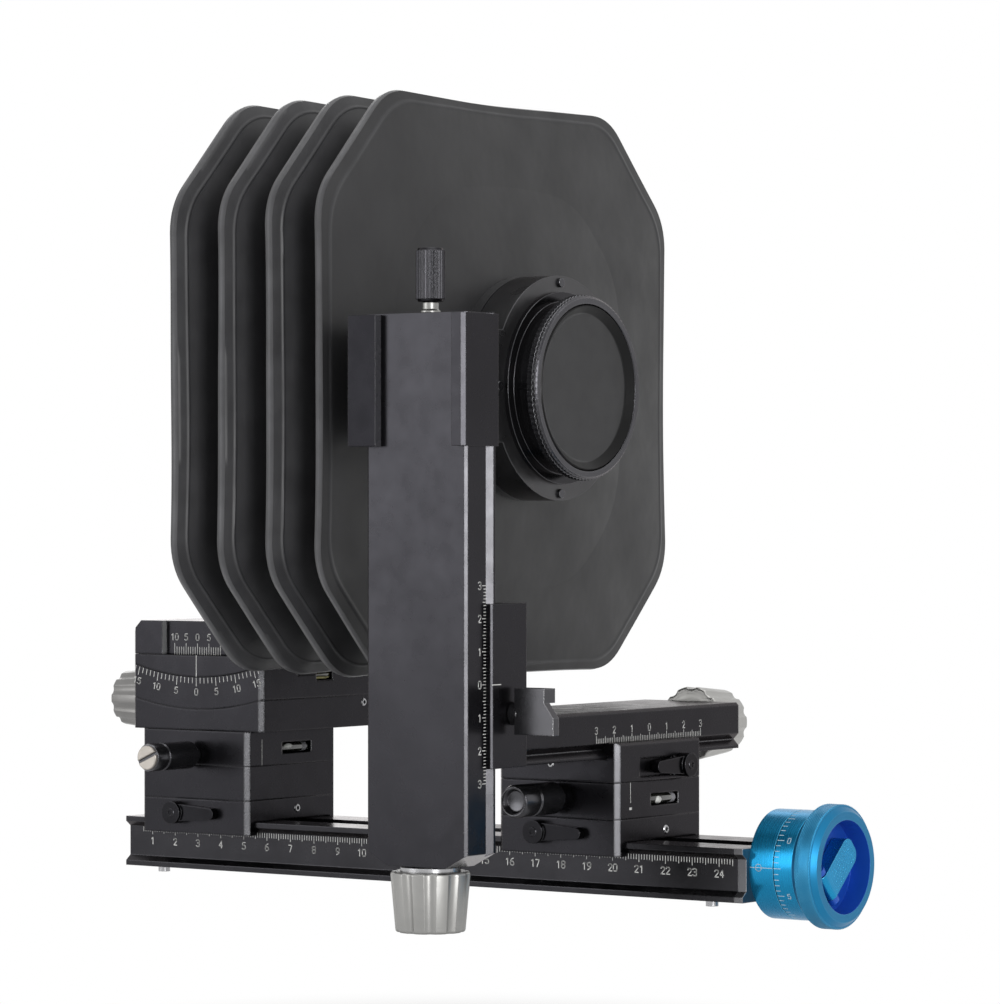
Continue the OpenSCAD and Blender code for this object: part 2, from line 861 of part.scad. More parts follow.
module rear_upright() {
    rib_t = 5;
    rib_h = 19;
    color("#26262a") {
        span([upright_x0, -tilt_y0 + cross_recess, cross_top], [frame_x0, tilt_y1, upright_top]);
        span([frame_x0 - foot_l, -tilt_y0 + cross_recess + over, cross_top],
             [upright_x0, tilt_y1 - over, cross_top + foot_t]);
        for (y = [-tilt_y0 / 2, tilt_y1 - 2 * rib_t])
            translate([upright_x0, y + rib_t, cross_top + foot_t])
                rotate([90, 0, 0])
                    linear_extrude(rib_t)
                        polygon([[0, 0], [upright_t - foot_l, 0], [0, rib_h]]);
    }
}

// A plate across X with cut corners
module plate_x(x0, x1, half, cut) {
    along_x(x0, x1)
        polygon([[half - cut, -half], [half, -half + cut], [half, half - cut], [half - cut, half],
                 [-half + cut, half], [-half, half - cut], [-half, -half + cut], [-half + cut, -half]]);
}

module rear_frame() {
    color("#26262a")
        difference() {
            translate([0, 0, axis_z]) plate_x(frame_x0, frame_x1, frame_half, frame_cut);
            rod_x(frame_x0 - over, frame_t + 2 * over, frame_bore_r, 0, axis_z);
        }
}

module camera_ring() {
    color("#9a9a9e")
        difference() {
            union() {
                rod_x(frame_x0 - camera_ring_l, camera_ring_l, camera_ring_r - camera_ring_step, 0, axis_z);
                rod_x(frame_x0 - camera_ring_l / 3, camera_ring_l / 3, camera_ring_r, 0, axis_z);
            }
            rod_x(frame_x0 - camera_ring_l - over, camera_ring_l + 2 * over, light_r, 0, axis_z);
        }
}

module bellows_rear_frame() {
    color("#1c1c1e")
        translate([0, 0, axis_z])
            difference() {
                plate_x(frame_x1, frame_x1 + rim_t, rear_rim, rear_rim_cut);
                plate_x(frame_x1 - over, frame_x1 + rim_t + over, rear_rim - rim_wall, rear_rim_cut - 2);
            }
}

/* Bellows */

// A rounded octagon as a list of points across Y and Z: half width a, half height b and corner cut c
function corner_list(a, b, c) = [
    [a, b - c], [a - c, b], [-a + c, b], [-a, b - c], [-a, -b + c], [-a + c, -b], [a - c, -b], [a, -b + c]];

function toward(p, q, d) = p + (q - p) * min(0.4, d / norm(q - p));

function octagon(a, b, c, round, sag) = let (k = corner_list(a, b, c)) [
    for (i = [0 : 7])
        let (p = k[i], next = k[(i + 1) % 8], before = toward(p, k[(i + 7) % 8], round),
             after = toward(p, next, round),
             drop = i % 2 == 0 ? 0 : sag)
            for (q = [before, (before + 2 * p + after) / 4, after, (p + next) * (0.5 - drop / (a + b))]) q];

function ringed(pts, r) = [for (p = pts) r * p / norm(p)];

function at_x(x, pts) = [for (p = pts) [x, p[0], p[1] + axis_z]];

function fold_ring(x, depth, narrow) = at_x(x, octagon(fold_y - depth - narrow, fold_z - depth,
    fold_cut - depth * bevel_share, fold_round, fold_sag * (fold_depth - depth) / fold_depth));

function rim_ring(x, grow) = at_x(x, octagon(rear_rim + grow, rear_rim + grow,
    rear_rim_cut + grow * bevel_share, rim_round, 0));

function front_ring(x, r) = at_x(x, ringed(octagon(fold_y, fold_z, fold_cut, fold_round, 0), r));

// One skin from the rear rim to the front collar: inset is 0 on the outer skin and skin_t on the inner one
function skin(inset) = let (lean = inset * 0.8) concat(
    [rim_ring(frame_x1 + face_gap, collar_gap + skin_t - inset),
     rim_ring(frame_x1 + rim_t - lean, collar_gap + skin_t - inset)],
    [for (i = [0 : folds - 1]) let (x = rear_fold_x + i * fold_pitch, narrow = fold_taper * (folds - 1 - i))
        for (r = concat(
            [fold_ring(x - fold_band + lean, inset, narrow), fold_ring(x + fold_band - lean, inset, narrow)],
            i == folds - 1 ? [] :
                [fold_ring(x + fold_pitch / 2 - fold_band / 4 - lean, fold_depth + inset, narrow),
                 fold_ring(x + fold_pitch / 2 + fold_band / 4 + lean, fold_depth + inset, narrow)]))
            r],
    [front_ring(boss_x0 - front_rim_t + lean, boss_r - inset),
     front_ring(boss_x0 - face_gap, boss_r - inset)]);

// All rings in one closed chain: along the outer skin and back along the inner skin
function chain() = let (outer = skin(0), inner = skin(skin_t))
    concat(outer, [for (i = [len(inner) - 1 : -1 : 0]) inner[i]]);

module bellows() {
    rings = chain();
    n = len(rings);
    m = len(rings[0]);
    color("#17171a")
        polyhedron(
            points = [for (r = rings, p = r) p],
            faces = [for (j = [0 : n - 1], i = [0 : m - 1])
                let (a = j * m + i, b = j * m + (i + 1) % m,
                     c = ((j + 1) % n) * m + (i + 1) % m, d = ((j + 1) % n) * m + i)
                    for (t = [[a, b, c], [a, c, d]]) t],
            convexity = 10);
}

/* Front standard */

module front_carriage() {
    color("#26262a")
        difference() {
            carriage_block(front_x);
            side_lever_bore(front_x - lever_in);
        }
}

module focus_nut() {
    color("#b08d3c")
        difference() {
            span([front_x - nut_l / 2, -channel_w / 2 + nut_side_gap, screw_z - screw_r - nut_wall],
                 [front_x + nut_l / 2, channel_w / 2 - nut_side_gap, rail_h + slide_gap]);
            rod_x(front_x - nut_l, 2 * nut_l, screw_r + run_gap, 0, screw_z);
        }
}

module front_swing_base() {
    color("#26262a") swing_base(front_x, layer1_z, front_lock_z);
}

module front_level_vial() {
    color("#d8d8c8") vial(front_x, layer1_z);
}

module front_carriage_lever() {
    color("#3a3a3e")
        on_side(front_x - lever_in, -block_w / 2, lever_z) lock_lever(lever_pin_r, lever_pin_l);
}

module front_swing_knob() {
    color("#3a3a3e") lock_knob(front_x, front_lock_z, front_lock_r);
}

module shift_clamp() {
    color("#26262a") {
        difference() {
            intersection() {
                translate([front_x, block_w / 2, bar_z])
                    rotate([90, 0, 0])
                        linear_extrude(block_w)
                            clamp_section(block_l / 2, clamp_floor, clamp_top, 0.8);
                translate([front_x, 0, clamp_z - over]) block(block_l, block_w, 4 * layer_h, block_bevel);
            }
            on_front(front_x + block_l / 2, shift_lever_y, shift_lever_z)
                translate([0, 0, -lever_pin_l - face_gap])
                    cylinder(h = lever_pin_l + over, r = lever_pin_r + run_gap);
            span([front_x + block_l / 2 - clamp_recess_d, clamp_recess_y[0], clamp_z + clamp_recess_z[0]],
                 [front_x + block_l / 2 + over, clamp_recess_y[1], clamp_z + clamp_recess_z[1]]);
        }
        rod_z(clamp_z - slide_gap - pivot_h, pivot_h + slide_gap, pivot_r, front_x);
    }
}

// A nut that stands in a bar's channel round its screw, along Z with the bar's slotted side at Y = 0
module bar_nut() {
    difference() {
        translate([-nut_r, -slide_gap, -nut_h / 2])
            cube([2 * nut_r, slide_gap + bar_mid + lead_r + over, nut_h]);
        translate([0, bar_mid, -nut_h]) cylinder(h = 2 * nut_h, r = lead_r + run_gap);
    }
}

module shift_nut() {
    color("#b08d3c")
        translate([front_x, 0, bar_z]) rotate([90, 0, 0]) bar_nut();
}

module shift_lock_lever() {
    color("#3a3a3e")
        on_front(front_x + block_l / 2, shift_lever_y, shift_lever_z)
            rotate([0, 0, 180]) lock_lever(lever_pin_r, lever_pin_l);
}

module shift_bar() {
    color("#2b2b2e")
        translate([front_x, bar_y1, bar_z]) rotate([90, 0, 0]) linear_extrude(bar_y1 - bar_y0) bar_section();
}

// A block that fills a bar's channel round the screw's end, drawn across the bar's section
module bearing_section() {
    difference() {
        translate([-slot_w / 2, 0]) square([slot_w, slot_d]);
        translate([0, bar_mid]) circle(r = lead_r + run_gap);
    }
}

module shift_bearing() {
    color("#9a9a9e")
        translate([front_x, bar_y1, bar_z]) rotate([90, 0, 0]) linear_extrude(bearing_l) bearing_section();
}

module shift_screw() {
    color("#9a9a9e")
        rod_y(bar_y0 + over, bar_y1 - bar_y0 - over + face_gap, lead_r, front_x, shift_z);
}

module shift_knob() {
    color("#c9c9cc")
        translate([front_x, bar_y1 + face_gap, shift_z])
            rotate([-90, 0, 0])
                fluted_knob(knob_r, knob_tip_r, knob_l);
}

module column_clamp() {
    color("#26262a")
        difference() {
            translate([front_x, -column_y, bar_z])
                mirror([0, 1, 0])
                    linear_extrude(column_clamp_h)
                        clamp_section(clamp_half, column_clamp_t - slide_gap, clamp_top, 0.6);
            on_front(front_x + clamp_half, wing_y, wing_z)
                translate([0, 0, -lever_pin_l - face_gap])
                    cylinder(h = lever_pin_l + over, r = lever_pin_r + run_gap);
        }
}

module rise_nut() {
    color("#b08d3c")
        translate([front_x, -column_y, clamp_mid]) mirror([0, 1, 0]) bar_nut();
}

// A paddle that lies along the column, with a thick ledge along its top
module column_clamp_lever() {
    x0 = face_gap + wing_base_h - over / 2;
    x1 = wing_l - wing_short;
    color("#3a3a3e")
        on_front(front_x + clamp_half, wing_y, wing_z) {
            translate([0, 0, -lever_pin_l]) cylinder(h = lever_pin_l + face_gap, r = lever_pin_r);
            translate([0, 0, face_gap]) cylinder(h = wing_base_h, r = wing_boss_r);
            translate([-wing_face_y, 0, 0])
                rotate([90, 0, 90])
                    linear_extrude(wing_t)
                        polygon([[wing_z0, x0], [wing_z0, wing_l], [wing_slant_z0, wing_l],
                                 [wing_slant_z1, x1], [wing_z1, x1], [wing_z1, x0]]);
            span([-wing_face_y, wing_slant_z1, x0], [-wing_face_y + wing_top_t, wing_z1, x1]);
        }
}

module column() {
    color("#2b2b2e")
        difference() {
            translate([front_x, -column_y, column_z0])
                mirror([0, 1, 0]) linear_extrude(column_top - column_z0) bar_section();
            for (s = [-1, 1])
                translate([front_x + s * bar_w / 2, -column_y - bar_t / 2, column_z0])
                    rotate([90, 0, 0])
                        linear_extrude(2 * bar_t, center = true)
                            polygon([[-s * foot_cut_x, -over], [s * over, -over], [s * over, foot_cut_z],
                                     [0, foot_cut_z], [-s * foot_cut_x, 0]]);
        }
}

module rise_bearing() {
    color("#9a9a9e")
        translate([front_x, -column_y, column_z0])
            mirror([0, 1, 0])
                linear_extrude(bearing_l) bearing_section();
}

module column_plug() {
    color("#9a9a9e")
        translate([front_x, -column_y, column_top - plug_l])
            mirror([0, 1, 0])
                difference() {
                    linear_extrude(plug_l) translate([-slot_w / 2, 0]) square([slot_w, slot_d]);
                    translate([0, bar_mid, over]) cylinder(h = plug_l, r = top_stud_r + run_gap);
                }
}

module rise_screw() {
    color("#9a9a9e")
        rod_z(column_z0 - collar_t - face_gap, column_top - plug_l - column_z0 + collar_t, lead_r,
              front_x, rise_y);
}

module rise_collar() {
    color("#a98f55")
        difference() {
            rod_z(column_z0 - collar_t - face_gap, collar_t, knob_r - collar_in, front_x, rise_y);
            rod_z(column_z0 - collar_t - over, 2 * over + collar_t, lead_r, front_x, rise_y);
        }
}

module rise_knob() {
    color("#c9c9cc")
        translate([front_x, rise_y, column_z0 - collar_t - face_gap])
            rotate([180, 0, 0]) fluted_knob(knob_r, knob_tip_r, knob_l);
}

module lens_carriage() {
    w = bar_w / 2;
    x0 = -w - far_wall;
    x1 = w + near_wall;
    y0 = -bar_t - lip_t;
    color("#26262a")
        translate([front_x, -column_y, axis_z - carriage_h / 2])
            difference() {
                linear_extrude(carriage_h)
                    polygon([[x0, y0], [x1 - carriage_bevel, y0], [x1, y0 + carriage_bevel], [x1, 0],
                             [x1 - web_t, web_t], [x0, web_t]]);
                translate([-w, -bar_t, -over]) cube([bar_w, bar_t, carriage_h + 2 * over]);
                translate([-w + wide_lip, y0 - over, -over])
                    cube([bar_w - wide_lip - narrow_lip, lip_t + 2 * over, carriage_h + 2 * over]);
            }
}

module lens_carriage_knob() {
    color("#3a3a3e") {
        rod_z(column_top - plug_l + over + face_gap, plug_l - over - face_gap + top_stud_l, top_stud_r,
              front_x, rise_y);
        translate([front_x, rise_y, column_top + top_stud_l]) knurled(top_knob_r, top_knob_l, 28, 0.35, 0.7);
    }
}

// A bracket on the lens carriage that the arm's root is fixed to
module arm_bracket() {
    y_back = -column_y + web_t;
    color("#26262a")
        span([boss_x1, y_back, axis_z - arm_z],
             [front_x + bar_w / 2 - pad_short, y_back + pad_t, axis_z + arm_z]);
}

module lens_arm() {
    color("#26262a")
        difference() {
            union() {
                span([boss_x0, -column_y + web_t, axis_z - arm_z], [boss_x1, 0, axis_z + arm_z]);
                rod_x(boss_x0, boss_l, boss_r, 0, axis_z, $fn = 128);
            }
            rod_x(boss_x0 - over, boss_l + 2 * over, boss_bore_r, 0, axis_z);
            for (i = [0 : 3])
                rotate_about_axis(90 * i)
                    rod_x(boss_x1 - boss_screw_l, boss_screw_l + over, boss_screw_r,
                          0, axis_z + boss_screw_pcr);
        }
}

// Children turned round the optical axis
module rotate_about_axis(a) {
    translate([0, 0, axis_z]) rotate([a, 0, 0]) translate([0, 0, -axis_z]) children();
}

module boss_screws() {
    color("#b9b9bc")
        for (i = [0 : 3])
            rotate_about_axis(90 * i) {
                rod_x(boss_x1 - boss_screw_l, boss_screw_l, boss_screw_r, 0, axis_z + boss_screw_pcr);
                rod_x(boss_x1, boss_screw_head_h, boss_screw_head_r, 0, axis_z + boss_screw_pcr);
            }
}

module lens_neck() {
    color("#1f1f22")
        translate([0, 0, axis_z])
            rotate([90, 0, 90])
                rotate_extrude($fn = 128)
                    polygon([[light_r, boss_x1], [flange_r, boss_x1], [flange_r, boss_x1 + flange_t],
                             [neck_r, boss_x1 + flange_t], [neck_r, neck_x1], [light_r, neck_x1]]);
}

// The ring turns on the neck, and its inner lip stands in front of the neck round the cap
module lens_lock_ring() {
    teeth = 90;
    depth = 0.4;
    color("#2a2a2d")
        translate([ring_x0, 0, axis_z])
            rotate([90, 0, 90])
                difference() {
                    union() {
                        linear_extrude(ring_l - ring_groove)
                            polygon([for (i = [0 : 2 * teeth - 1])
                                let (rr = ring_r - depth * (i % 2), a = 180 * i / teeth)
                                    [rr * cos(a), rr * sin(a)]]);
                        cylinder(h = ring_l, r = ring_r - ring_groove_in);
                    }
                    translate([0, 0, -over])
                        cylinder(h = ring_hold + arc_gap + over, r = neck_r + run_gap, $fn = 128);
                    translate([0, 0, -over])
                        cylinder(h = ring_l + 2 * over, r = cap_r + run_gap, $fn = 128);
                }
}

module dust_cap() {
    x = neck_x1 + arc_gap;
    front = ring_x1 - x;
    color("#151517")
        translate([x, 0, axis_z])
            rotate([90, 0, 90])
                rotate_extrude($fn = 128)
                    polygon([[0, 0], [cap_r, 0], [cap_r, front - cap_edge], [cap_r - cap_edge, front],
                             [cap_r - cap_slope, front - cap_step], [0, front - cap_step]]);
}

module bellows_front_frame() {
    color("#1c1c1e")
        difference() {
            rod_x(boss_x0 - front_rim_t, front_rim_t, front_rim_r - collar_gap, 0, axis_z, $fn = 128);
            rod_x(boss_x0 - front_rim_t - over, front_rim_t + 2 * over, boss_bore_r, 0, axis_z);
        }
}

rail();
rail_end_plate();
rail_stop_pins();
screw_bearing();
focus_drum();
focus_screw();
focus_dial();
focus_knob();
focus_crank();
rear_carriage();
rear_riser();
rear_swing_base();
rear_level_vial();
rear_carriage_lever();
rear_swing_knob();
tilt_cradle();
tilt_arc();
tilt_level_vial();
tilt_worm();
tilt_knob();
tilt_saddle();
cross_slide();
cross_slide_knob();
rear_upright();
rear_frame();
camera_ring();
bellows_rear_frame();
bellows();
front_carriage();
focus_nut();
front_swing_base();
front_level_vial();
front_carriage_lever();
front_swing_knob();
shift_clamp();
shift_nut();
shift_lock_lever();
shift_bar();
shift_bearing();
shift_screw();
shift_knob();
column_clamp();
rise_nut();
column_clamp_lever();
column();
rise_bearing();
rise_screw();
rise_collar();
rise_knob();
column_plug();
lens_carriage();
lens_carriage_knob();
arm_bracket();
lens_arm();
boss_screws();
lens_neck();
lens_lock_ring();
dust_cap();
bellows_front_frame();
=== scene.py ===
"""Studio scene of a monorail view camera.

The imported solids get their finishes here. The bellows, threads, knurls, engraved scales, levels and small
screws are built around them, each on the body that carries it. +X points to the lens, +Z up, and the optical
axis lies in the plane Y = 0. Shapes are drawn in millimetres and become meshes in metres. Finishes and studio
are in metres.
"""

import logging
import math
from dataclasses import dataclass, field
from enum import Enum
from typing import Callable, Iterable, Sequence

import bpy
import numpy as np
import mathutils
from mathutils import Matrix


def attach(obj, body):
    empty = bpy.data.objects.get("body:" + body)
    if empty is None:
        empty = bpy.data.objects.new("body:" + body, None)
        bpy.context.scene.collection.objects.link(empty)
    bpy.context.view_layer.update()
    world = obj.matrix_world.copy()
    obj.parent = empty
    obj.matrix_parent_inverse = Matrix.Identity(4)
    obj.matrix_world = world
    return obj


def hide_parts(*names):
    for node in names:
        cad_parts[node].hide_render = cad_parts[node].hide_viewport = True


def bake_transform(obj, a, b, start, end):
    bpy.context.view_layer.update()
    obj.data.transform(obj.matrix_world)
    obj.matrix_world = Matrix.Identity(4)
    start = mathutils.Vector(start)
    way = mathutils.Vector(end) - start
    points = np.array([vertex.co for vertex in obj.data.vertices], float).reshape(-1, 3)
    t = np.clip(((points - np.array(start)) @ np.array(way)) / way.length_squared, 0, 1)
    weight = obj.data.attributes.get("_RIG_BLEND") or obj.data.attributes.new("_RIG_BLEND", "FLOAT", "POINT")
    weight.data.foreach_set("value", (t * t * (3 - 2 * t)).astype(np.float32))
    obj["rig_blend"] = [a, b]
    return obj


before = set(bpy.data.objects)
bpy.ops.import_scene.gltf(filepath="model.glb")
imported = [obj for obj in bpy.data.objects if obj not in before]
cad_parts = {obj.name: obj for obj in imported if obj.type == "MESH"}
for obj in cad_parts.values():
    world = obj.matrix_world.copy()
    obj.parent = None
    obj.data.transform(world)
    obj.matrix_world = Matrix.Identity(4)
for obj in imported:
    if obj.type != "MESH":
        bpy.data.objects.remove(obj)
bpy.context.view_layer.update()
LOG = logging.getLogger("view_camera")

Array = np.ndarray
Vector = Sequence[float]
Point = tuple[float, float, float]
RGB = tuple[float, float, float]
Socket = bpy.types.NodeSocket

MM = 0.001
TURN = 2.0 * math.pi
AXIS_Z = 161.2
FOCUS_Z = 11.0
TILT_Z = 56.22
FRONT_X = 57.5
SHIFT_Z = 50.74
RISE_Y = -91.9
REAR_KNOB = (-92.2, 39.08)
TO_LENS = (1.0, 0.0, 0.0)
TO_BACK = (-1.0, 0.0, 0.0)
TO_COLUMN = (0.0, -1.0, 0.0)
TO_FAR_SIDE = (0.0, 1.0, 0.0)
UP = (0.0, 0.0, 1.0)


# Node graphs of the finishes


class Graph:
    """A node tree under construction: short calls that add shader nodes and join them."""

    def __init__(self, tree: bpy.types.NodeTree) -> None:
        """Takes the tree of a material or a world and empties it."""
        self.tree = tree
        tree.nodes.clear()

    def add(self, kind: str, inputs: dict | None = None, **props: object) -> bpy.types.Node:
        """Adds one node.

        Args:
            kind: the node's type name after "ShaderNode".
            inputs: socket name or number to a constant or to another node's socket.
            props: settings of the node itself.

        Returns:
            The new node.
        """
        node = self.tree.nodes.new("ShaderNode" + kind)
        for key, value in props.items():
            setattr(node, key, value)
        for key, value in (inputs or {}).items():
            self.feed(node.inputs[key], value)
        return node

    def feed(self, socket: Socket, value: object) -> None:
        """Joins an input to another socket, or gives it a constant.

        Args:
            socket: the input.
            value: an output socket, a number, a vector, or a colour, which gets full cover.
        """
        if isinstance(value, Socket):
            self.tree.links.new(value, socket)
        else:
            socket.default_value = (*value, 1.0) if socket.type == "RGBA" else value

    def math(self, operation: str, a: object, b: object = 0.0) -> Socket:
        """Returns the result of one arithmetic step."""
        return self.add("Math", {0: a, 1: b}, operation=operation).outputs[0]

    def product(self, *factors: object) -> Socket:
        """Returns the product of two or more factors."""
        rest = factors[1] if len(factors) == 2 else self.product(*factors[1:])
        return self.math("MULTIPLY", factors[0], rest)

    def ramp(self, value: object, start: float, stop: float, low: object = 0.0, high: object = 1.0,
             **props: object) -> Socket:
        """Returns the value with start to stop mapped onto low to high, held at both ends."""
        ends = {"From Min": start, "From Max": stop, "To Min": low, "To Max": high}
        return self.add("MapRange", {"Value": value, **ends}, **props).outputs[0]

    def blend(self, factor: object, a: object, b: object) -> Socket:
        """Returns colour a mixed with the given share of colour b."""
        return self.add("Mix", {0: factor, 6: a, 7: b}, data_type="RGBA").outputs[2]

    def parts(self, vector: Socket) -> Sequence[Socket]:
        """Returns the three parts of a vector."""
        return self.add("SeparateXYZ", {0: vector}).outputs

    def seen(self) -> Socket:
        """Tells the rays that show the surface from those that only light others.

        Returns:
            Socket with 1 for rays of the camera, of reflections and of clear bodies, and 0 for diffuse light.
        """
        path = self.add("LightPath").outputs
        through = self.math("MAXIMUM", path["Is Glossy Ray"], path["Is Transmission Ray"])
        return self.math("MAXIMUM", path["Is Camera Ray"], through)


class Surface(Graph):
    """The graph of a new material with one surface shader."""

    def __init__(self, name: str) -> None:
        """Starts the material.

        Args:
            name: name of the material.
        """
        self.material = bpy.data.materials.new(name)
        self.material.use_nodes = True
        super().__init__(self.material.node_tree)
        self.shader = self.add("BsdfPrincipled")
        self.out = self.add("OutputMaterial", {0: self.shader.outputs[0]}).inputs[0]
        self.place = self.add("TexCoord").outputs["Object"]

    def set(self, **values: object) -> None:
        """Sets inputs of the surface shader, with underscores for the spaces in their names."""
        for key, value in values.items():
            self.feed(self.shader.inputs[key.replace("_", " ")], value)

    def noise(self, scale: float, detail: float, stretch: Point = (1.0, 1.0, 1.0)) -> Socket:
        """Returns noise over the object's own coordinates, drawn out along an axis with a small stretch."""
        moved = self.add("Mapping", {"Vector": self.place, "Scale": stretch}).outputs[0]
        return self.add("TexNoise", {"Vector": moved, "Scale": scale, "Detail": detail}).outputs["Fac"]

    def mottle(self, scale: float, detail: float, low: float = 0.0, high: float = 1.0,
               stretch: Point = (1.0, 1.0, 1.0)) -> Socket:
        """Returns noise with its usual 0.3 to 0.7 mapped onto low to high."""
        return self.ramp(self.noise(scale, detail, stretch), 0.3, 0.7, low, high)

    def facing(self) -> Sequence[Socket]:
        """Returns the three parts of the surface's direction."""
        return self.parts(self.place.node.outputs["Normal"])

    def around(self, centre: Point) -> Sequence[Socket]:
        """Returns the three parts of the place as seen from a centre."""
        away = tuple(-c for c in centre)
        return self.parts(self.add("Mapping", {"Vector": self.place, "Location": away}).outputs[0])

    def reach(self, a: Socket, b: Socket) -> Socket:
        """Returns the root of the sum of two squares."""
        return self.math("SQRT", self.math("ADD", self.product(a, a), self.product(b, b)))

    def edges(self, radius: float, level: float = 1.0) -> tuple[Socket, Socket]:
        """Finds sharp edges by the angle between the rounded and the true normal.

        Args:
            radius: rounding radius in metres.
            level: strength on an edge that doesn't stand upright, 1 on an upright one.

        Returns:
            The rounded normal and the edge share, 1 on an edge and 0 on a face.
        """
        rounded = self.add("Bevel", {"Radius": radius}, samples=6).outputs[0]
        true = self.add("NewGeometry").outputs["True Normal"]
        dot = self.add("VectorMath", {0: rounded, 1: true}, operation="DOT_PRODUCT").outputs["Value"]
        tilt = self.math("ABSOLUTE", self.parts(rounded)[2])
        # upright edges get full strength and others the level, so this edge mask also places painted
        # highlights where upright lamps glint
        upright = self.ramp(tilt, 0.1, 0.35, 1.0, level)
        return rounded, self.product(self.ramp(dot, 0.80, 0.985, 1.0, 0.0), upright)

    def bump(self, height: object, distance: float, strength: float, normal: Socket | None = None) -> None:
        """Gives the surface a relief.

        Args:
            height: socket with the height.
            distance: height of the relief in metres.
            strength: share of it.
            normal: normal that the relief stands on.
        """
        node = self.add("Bump", {"Height": height, "Distance": distance, "Strength": strength})
        if normal is not None:
            self.feed(node.inputs["Normal"], normal)
        self.set(Normal=node.outputs[0])


def shade(colour: RGB, factor: float) -> RGB:
    """Returns the colour made darker or paler by a factor."""
    return tuple(min(1.0, c * factor) for c in colour)


@dataclass(frozen=True)
class Coat:
    """A finish of the camera's surfaces."""

    name: str

    def material(self) -> bpy.types.Material:
        """Builds the material when it is first asked for.

        Returns:
            The material.
        """
        if self.name not in bpy.data.materials:
            self.paint(Surface(self.name))
        return bpy.data.materials[self.name]

    def paint(self, g: Surface) -> None:
        """Fills the graph. Each kind of finish does it in its own way."""
        raise NotImplementedError


@dataclass(frozen=True)
class Anodised(Coat):
    """Bead-blasted and anodised aluminium, paler where its edges are cut or rubbed, which is partly a painted
    highlight, and with a painted highlight on the bevels between the -Y and +X sides.
    """

    colour: RGB = (0.026, 0.0256, 0.0292)
    # paler edges: partly rubbed metal, partly a painted highlight, strongest on upright edges
    edge: RGB = (0.10, 0.10, 0.107)
    # painted highlight on the bevels between the -Y and +X sides, which face the lamps by the camera
    bevel: RGB = (0.046, 0.0455, 0.050)
    # painted highlight on slopes facing down, as on the column's foot
    under: RGB | None = None
    metallic: float = 0.92
    tint: RGB = (0.8, 0.77, 0.77)
    rough: float = 0.27
    edge_radius: float = 0.0004
    flat_edges: float = 0.3
    grain: float = 2600.0

    def sides(self, g: Surface, base: Socket) -> Socket:
        """Adds painted light by side: a painted highlight on the bevels between the -Y and +X sides, and on
        slopes facing down.

        Args:
            g: the graph.
            base: socket with the colour so far.

        Returns:
            Socket with the colour.
        """
        x, y, z = g.facing()
        # painted highlight: bevels leaning between -Y and +X get the paler bevel colour
        base = g.blend(g.ramp(g.product(x, y, -1.0), 0.2, 0.4), base, self.bevel)
        # painted highlight on slopes facing down
        if self.under is not None:
            down = g.product(g.math("LESS_THAN", z, -0.2), g.math("GREATER_THAN", z, -0.9))
            base = g.blend(down, base, self.under)
        return base

    def paint(self, g: Surface) -> None:
        """Adds a cloudy colour and gloss, a blasted grain, and paler edges that are partly cut or rubbed and
        partly a painted highlight.

        Args:
            g: the graph.
        """
        rounded, edge = g.edges(self.edge_radius, self.flat_edges)
        # edges paler: rubbed wear and a painted highlight
        rub_and_sheen = g.product(edge, g.mottle(160.0, 3.0, 0.75, 1.0))
        g.set(Metallic=self.metallic, Specular_IOR_Level=0.25, Specular_Tint=self.tint)
        base = self.sides(g, g.blend(g.mottle(45.0, 4.0), shade(self.colour, 0.84), self.colour))
        g.set(Base_Color=g.blend(rub_and_sheen, base, self.edge))
        g.set(Roughness=g.mottle(160.0, 4.0, self.rough - 0.04, self.rough + 0.05))
        g.bump(g.noise(self.grain, 2.0), 0.00001, 0.3, rounded)


@dataclass(frozen=True)
class Lipped(Anodised):
    """An anodised block with a window: the lip beyond it has a painted shade on its face and a painted light
    on its bare, non-metallic side.
    """

    window_x: float = 0.04425
    # painted shade on the lip's face
    lip: RGB = (0.010, 0.0099, 0.0118)
    # painted light on the lip's side, which is made non-metallic so that the lamps light it
    side: RGB = (0.045, 0.0445, 0.050)

    def sides(self, g: Surface, base: Socket) -> Socket:
        """Adds the painted shade of the lip's face and the painted light of its bare side to the common
        sides.

        Args:
            g: the graph.
            base: socket with the colour so far.

        Returns:
            Socket with the colour.
        """
        base = super().sides(g, base)
        x, y, _ = g.facing()
        beyond = g.math("LESS_THAN", g.parts(g.place)[0], self.window_x + 0.0002)
        # painted shade on the lip's face and painted light on its side
        face = g.product(beyond, g.math("LESS_THAN", y, -0.5))
        inner = g.product(beyond, g.math("GREATER_THAN", x, 0.7))
        g.set(Metallic=g.product(self.metallic, g.math("SUBTRACT", 1.0, inner)))
        return g.blend(inner, g.blend(face, base, self.lip), self.side)


